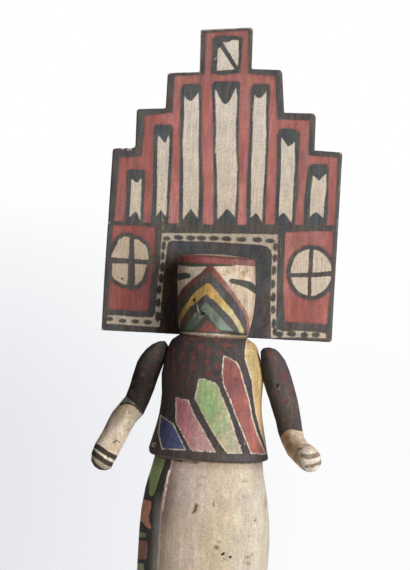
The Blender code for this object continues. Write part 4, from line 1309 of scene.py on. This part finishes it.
def shape_arm(settings, node):
    """One arm: black sleeve with red dabs, cream forearm, stripes across the fist."""
    wood = Wood(node, "painted_" + node, settings.carving.arm_skin)
    across, up = as_seen(wood.points)
    worn, dirt = worn_edges_and_dark_corners(wood)
    sleeve = 0.75 * (np.interp(across, *zip(*SLEEVE_ENDS[node])) - up)
    by_places = 0.5 + 0.5 * wood.noise((2.5, 2.5, 5.0), 8)
    ground = between("e0d2c0", "cbb598", by_places)
    # Brown stains, and on the arm at the doll's left also painted shade under the forearm beside the fist
    ground = blended(ground, linear(ARM_SHADES[node]["stain"]), stained(across, up, FOREARM_STAINS_AND_SHADE[node]))
    patches = Patches(wood.count)
    # Stripes; on the arm at the doll's left the thin brown one is painted shade in the crease of the wrist
    for code, path, width in FIST_STRIPES[node]:
        shade = wood.washed(wood.evenly(linear(code)), 1.0, 45)
        patches.add(stroke_distance(across, up, path, width), shade)
    soiling = 0.1 + 0.22 * wood.noise((1.4, 1.4, 3.0), 14)
    if node == "arm_right":
        ground = tinted(ground, 0.08 - 0.24 * smooth_step(up, 124.0, 131.0), 1.0)
        cuff = np.maximum(outline_distance(across, up, CUFF_SMEAR), -sleeve)
        patches.add(cuff, between("8c8577", "5f6152", smooth_step(across, -43.5, -41.0)))
        line = stroke_distance(across, up, *CUFF_LINE)
        patches.cut(line)
        patches.add(line, linear("3b342d"))
        soiling += 0.22 * smooth_step(up, 131.0, 137.0)
        turned = smooth_step(up, 172.0, 154.0)
    else:
        # Paler ground, and a painted highlight whitening the fist on its lit side
        fist = smooth_step(across, 45.5, 48.5) * smooth_step(up, 125.0, 122.5)
        ground = blended(1.1 * ground, linear("efe5da"), 0.7 * fist)
        turned = smooth_step(across - 0.25 * (170.0 - up), 24.5, 29.0)

    dabs = marks_distance(across, up, ovals=SLEEVE_BLOTCHES[node])
    dabs += 0.9 * wood.noise((1.1, 1.1, 1.5), 6) + 0.3
    wood.colours["ground"] = wood.washed(ground, 0.4, 26)
    wood.coat("dark", wood.washed(between(*ARM_SHADES[node]["sleeve"], turned), 1.2, 27), sleeve)
    wood.coat("patch", patches.colour, patches.distance)
    wood.coat("trim", ground, np.full(wood.count, ABSENT))
    wood.coat("spot", wood.evenly(linear(ARM_SHADES[node]["dab"])), np.maximum(dabs, sleeve + 0.8))
    wood.layers["worn"] = worn * 0.5
    wood.layers["dirt"] = np.clip(np.maximum(dirt, soiling * (sleeve > 0)), 0.0, 1.0)
    chips = marks_distance(across, up, **ARM_CHIPS[node])
    # Pits, and on the arm at the doll's left a dark spot of painted shade in the gap by the body
    pits = marks_distance(across, up, **ARM_PITS_AND_GAP_SHADE[node])
    wood.layers.update({"chip_edge": chips, "pit_edge": pits})
    hand_cut(wood, settings.carving.unevenness / MM)
    wood.sink(pits, 0.3, -0.3, 0.4)
    material = painted_cottonwood("Brushed mineral paint on cottonwood " + node, ARM_LOOK)
    wood.finish(material)


def shape_base(settings):
    """The low oval slab under the boots."""
    wood = Wood("base", "wooden_base", settings.carving.skin)
    _, dirt = worn_edges_and_dark_corners(wood)
    height = wood.points[:, 2]
    wood.layers["dirt"] = np.clip(dirt + 0.6 * smooth_step(height, 2.0, 0.0), 0.0, 1.0)
    wood.move(0.12 * smooth_step(height, 0.5, 3.0) * wood.noise((16.0, 4.0, 4.0), 0))
    wood.finish(carved_base_wood("Hand cut cottonwood slab"))


def aimed(location, target):
    """Where a lamp at location stands to shine at target."""
    back = (Vector(location) - Vector(target)).normalized()
    return Matrix.Translation(location) @ back.to_track_quat("Z", "Y").to_matrix().to_4x4()


def softbox(name, azimuth, elevation, distance, size, power, tint):
    """A softbox that shines at the doll's chest. Angles in degrees, size is (width, height) in metres."""
    a = math.radians(azimuth)
    e = math.radians(elevation)
    target = Vector((0.0, 0.0, 0.2))
    away = Vector((math.sin(a) * math.cos(e), -math.cos(a) * math.cos(e), math.sin(e)))
    place = target + distance * away
    data = bpy.data.lights.new(name, "AREA")
    data.shape = "RECTANGLE"
    data.size, data.size_y = size
    data.energy = power
    data.color = tint
    lamp = bpy.data.objects.new(name, data)
    bpy.context.scene.collection.objects.link(lamp)
    lamp.matrix_world = aimed(place, target)


def shape_stage(settings):
    """Camera, pale floor that fades into the backdrop, and softboxes."""
    stage = settings.stage
    scene = bpy.context.scene
    data = bpy.data.cameras.new("camera")
    data.sensor_width = SENSOR
    data.lens = SENSOR * VIEW_DISTANCE / VIEW_HEIGHT
    data.clip_start = 0.05
    data.clip_end = 50.0
    camera = bpy.data.objects.new("camera", data)
    scene.collection.objects.link(camera)
    right = math.cos(VIEW_ROLL) * VIEW_RIGHT + math.sin(VIEW_ROLL) * VIEW_UP
    upward = math.cos(VIEW_ROLL) * VIEW_UP - math.sin(VIEW_ROLL) * VIEW_RIGHT
    eye = (VIEW_AIM + VIEW_DISTANCE * VIEW_BACK) * MM
    camera.matrix_world = Matrix((
        (right[0], upward[0], VIEW_BACK[0], eye[0]),
        (right[1], upward[1], VIEW_BACK[1], eye[1]),
        (right[2], upward[2], VIEW_BACK[2], eye[2]),
        (0.0, 0.0, 0.0, 1.0),
    ))
    scene.camera = camera

    floor_mesh = bpy.data.meshes.new("studio_floor")
    disc = bmesh.new()
    bmesh.ops.create_circle(disc, cap_ends=True, radius=1.2, segments=96)
    disc.to_mesh(floor_mesh)
    disc.free()
    floor = bpy.data.objects.new("studio_floor", floor_mesh)
    scene.collection.objects.link(floor)
    floor_mesh.materials.append(seamless_paper())

    key_size = (stage.key_size, 0.7 * stage.key_size)
    for box in (
        ("key_softbox", stage.key_azimuth, stage.key_elevation, 1.6, key_size, stage.key_power, WARM_WHITE),
        ("front_fill", -12.0, 12.0, 2.2, (1.2, 1.2), stage.fill_power, COOL_WHITE),
        ("back_softbox", 196.0, 35.0, 1.8, (0.9, 0.9), stage.back_power, WARM_WHITE),
    ):
        softbox(*box)

    world = bpy.data.worlds.new("studio_surround")
    scene.world = world
    world.use_nodes = True
    world.node_tree.nodes.clear()
    add = partial(add_node, world.node_tree)
    # White paper all round, with painted shade that makes it a little greyer low down on the doll's right
    direction = add("TexCoord").outputs["Generated"]
    parts = add("SeparateXYZ", {0: direction})
    above = add("MapRange", {0: parts.outputs[2], 1: -0.102, 2: 0.018}).outputs[0]
    above = add("Math", {0: above, 1: 1.8}, operation="POWER").outputs[0]
    low = add("Math", {0: 1.0, 1: above}, operation="SUBTRACT").outputs[0]
    aside = add("MapRange", {0: parts.outputs[0], 1: -0.215, 2: -0.09, 3: 1.0, 4: 0.13}).outputs[0]
    grey = add("Math", {0: low, 1: aside}, operation="MULTIPLY").outputs[0]
    shade = add("Mix", {0: grey, 6: opaque("ffffff"), 7: opaque("e6e7ec")}, data_type="RGBA").outputs[2]
    seen = add("Background", {"Color": shade, "Strength": 1.0})
    ambient = add("Background", {"Color": (0.98, 0.99, 1.0, 1.0), "Strength": stage.ambient})
    path = add("LightPath").outputs["Is Camera Ray"]
    either = add("MixShader", {0: path, 1: ambient.outputs[0], 2: seen.outputs[0]})
    add("OutputWorld", {0: either.outputs[0]})
    scene.view_settings.view_transform = "Standard"


def seamless_paper():
    """Matte white backdrop paper, that fades out away from the doll."""
    material, add, place = new_material("Seamless white backdrop paper")
    away = add("VectorMath", {0: place}, operation="LENGTH").outputs["Value"]
    fade = add("MapRange", {0: away, 1: 0.12, 2: 0.45}, interpolation_type="SMOOTHSTEP").outputs[0]
    paper = add("BsdfPrincipled", {"Base Color": opaque("f4f4f4"), "Roughness": 0.9})
    clear = add("BsdfTransparent")
    both = add("MixShader", {0: fade, 1: paper.outputs[0], 2: clear.outputs[0]})
    add("OutputMaterial", {0: both.outputs[0]})
    return material


def colour_setting(name, description, code):
    """A colour for the sidebar, stored linear."""
    return bpy.props.FloatVectorProperty(
        name=name, description=description, subtype="COLOR", size=3, min=0.0, max=1.0,
        default=linear(code),
    )


def length_setting(name, description, default, low, high):
    """A length for the sidebar, given in millimetres and stored in metres."""
    return bpy.props.FloatProperty(
        name=name, description=description, default=default * MM, min=low * MM, max=high * MM,
        precision=5, unit="LENGTH",
    )


class DollColours(bpy.types.PropertyGroup):
    """Mineral paints."""

    board_red: colour_setting("Board red", "Iron red of the board", "a1605b")
    head_red: colour_setting("Crown red", "Iron red of the band round the head", "9d5654")
    black: colour_setting("Black", "Washed charcoal black", "534f4d")
    cream: colour_setting("Cream", "White clay of the ribbons", "dbcec0")
    face_cream: colour_setting("Face cream", "White clay of the face", "d6c8b8")


class DollCarving(bpy.types.PropertyGroup):
    """Carved surface and dabs of paint."""

    skin: length_setting("Skin", "Spacing of the fine surface on board and base", 0.62, 0.3, 3.0)
    body_skin: length_setting("Body skin", "Spacing of the fine surface on the body", 0.72, 0.3, 3.0)
    arm_skin: length_setting("Arm skin", "Spacing of the fine surface on the arms", 0.4, 0.2, 2.0)
    unevenness: length_setting("Unevenness", "Depth of the knife's waves", 0.16, 0.0, 0.6)
    spot_spacing: length_setting("Dab spacing", "Least distance between two red dabs", 4.8, 2.0, 20.0)
    spot_size: length_setting("Dab size", "Width of a red dab", 2.9, 0.5, 6.0)


class DollStage(bpy.types.PropertyGroup):
    """Studio light."""

    key_azimuth: bpy.props.FloatProperty(
        name="Key angle", description="Where the main softbox stands, in degrees to the doll's left",
        default=47.0, min=-90.0, max=90.0,
    )
    key_elevation: bpy.props.FloatProperty(
        name="Key height", description="How high the main softbox stands, in degrees",
        default=13.0, min=0.0, max=85.0,
    )
    key_size: bpy.props.FloatProperty(
        name="Key size", description="Width of the main softbox",
        default=1.4, min=0.05, max=3.0, unit="LENGTH",
    )
    key_power: bpy.props.FloatProperty(
        name="Key power", description="Power of the main softbox", default=34.0, min=0.0, unit="POWER",
    )
    fill_power: bpy.props.FloatProperty(
        name="Fill power", description="Power of the front fill", default=1.5, min=0.0, unit="POWER",
    )
    back_power: bpy.props.FloatProperty(
        name="Back power", description="Power of the softbox behind the doll",
        default=24.0, min=0.0, unit="POWER",
    )
    ambient: bpy.props.FloatProperty(
        name="Surround", description="Light from the white surround", default=0.08, min=0.0, max=5.0,
    )


class DollSettings(bpy.types.PropertyGroup):
    """All settings of the doll."""

    colours: bpy.props.PointerProperty(type=DollColours, name="Colours", description="Mineral paints")
    carving: bpy.props.PointerProperty(type=DollCarving, name="Carving", description="Carved surface")
    stage: bpy.props.PointerProperty(type=DollStage, name="Stage", description="Studio light")


class DOLL_OT_board(bpy.types.Operator):
    """Paint and weather the stepped board"""

    bl_idname = "doll.board"
    bl_label = "Board"

    def execute(self, context):
        shape_board(context.scene.painted_doll)
        return {"FINISHED"}


class DOLL_OT_figure(bpy.types.Operator):
    """Paint and weather head, shirt, skirt and boots"""

    bl_idname = "doll.figure"
    bl_label = "Figure"

    def execute(self, context):
        shape_figure(context.scene.painted_doll)
        return {"FINISHED"}


class DOLL_OT_arms(bpy.types.Operator):
    """Paint and weather both arms"""

    bl_idname = "doll.arms"
    bl_label = "Arms"

    def execute(self, context):
        for node in ("arm_right", "arm_left"):
            shape_arm(context.scene.painted_doll, node)
        return {"FINISHED"}


class DOLL_OT_base(bpy.types.Operator):
    """Finish the wooden slab under the boots"""

    bl_idname = "doll.base"
    bl_label = "Base"

    def execute(self, context):
        shape_base(context.scene.painted_doll)
        return {"FINISHED"}


class DOLL_OT_stage(bpy.types.Operator):
    """Set camera, floor and softboxes"""

    bl_idname = "doll.stage"
    bl_label = "Stage"

    def execute(self, context):
        shape_stage(context.scene.painted_doll)
        return {"FINISHED"}


class DOLL_PT_panel(bpy.types.Panel):
    """Sizes, colours and steps of the painted doll"""

    bl_idname = "DOLL_PT_panel"
    bl_label = "Painted Doll"
    bl_space_type = "VIEW_3D"
    bl_region_type = "UI"
    bl_category = "Painted Doll"

    def draw(self, context):
        settings = context.scene.painted_doll
        for group in (settings.colours, settings.carving, settings.stage):
            box = self.layout.box()
            for key in group.bl_rna.properties.keys():
                if key not in {"rna_type", "name"}:
                    box.prop(group, key)
        for operator in OPERATORS:
            self.layout.operator(operator.bl_idname)


OPERATORS = (DOLL_OT_board, DOLL_OT_figure, DOLL_OT_arms, DOLL_OT_base, DOLL_OT_stage)
CLASSES = (DollColours, DollCarving, DollStage, DollSettings) + OPERATORS + (DOLL_PT_panel,)


def register():
    """Registers the classes and hangs the settings on the scene."""
    for item in CLASSES:
        bpy.utils.register_class(item)
    bpy.types.Scene.painted_doll = bpy.props.PointerProperty(type=DollSettings)


def unregister():
    """Takes the settings and the classes away again."""
    del bpy.types.Scene.painted_doll
    for item in reversed(CLASSES):
        bpy.utils.unregister_class(item)


def main():
    """Runs every step in order."""
    register()
    bpy.ops.doll.board()
    bpy.ops.doll.figure()
    bpy.ops.doll.arms()
    bpy.ops.doll.base()
    bpy.ops.doll.stage()
    bpy.context.view_layer.update()


if __name__ == "__main__":
    main()
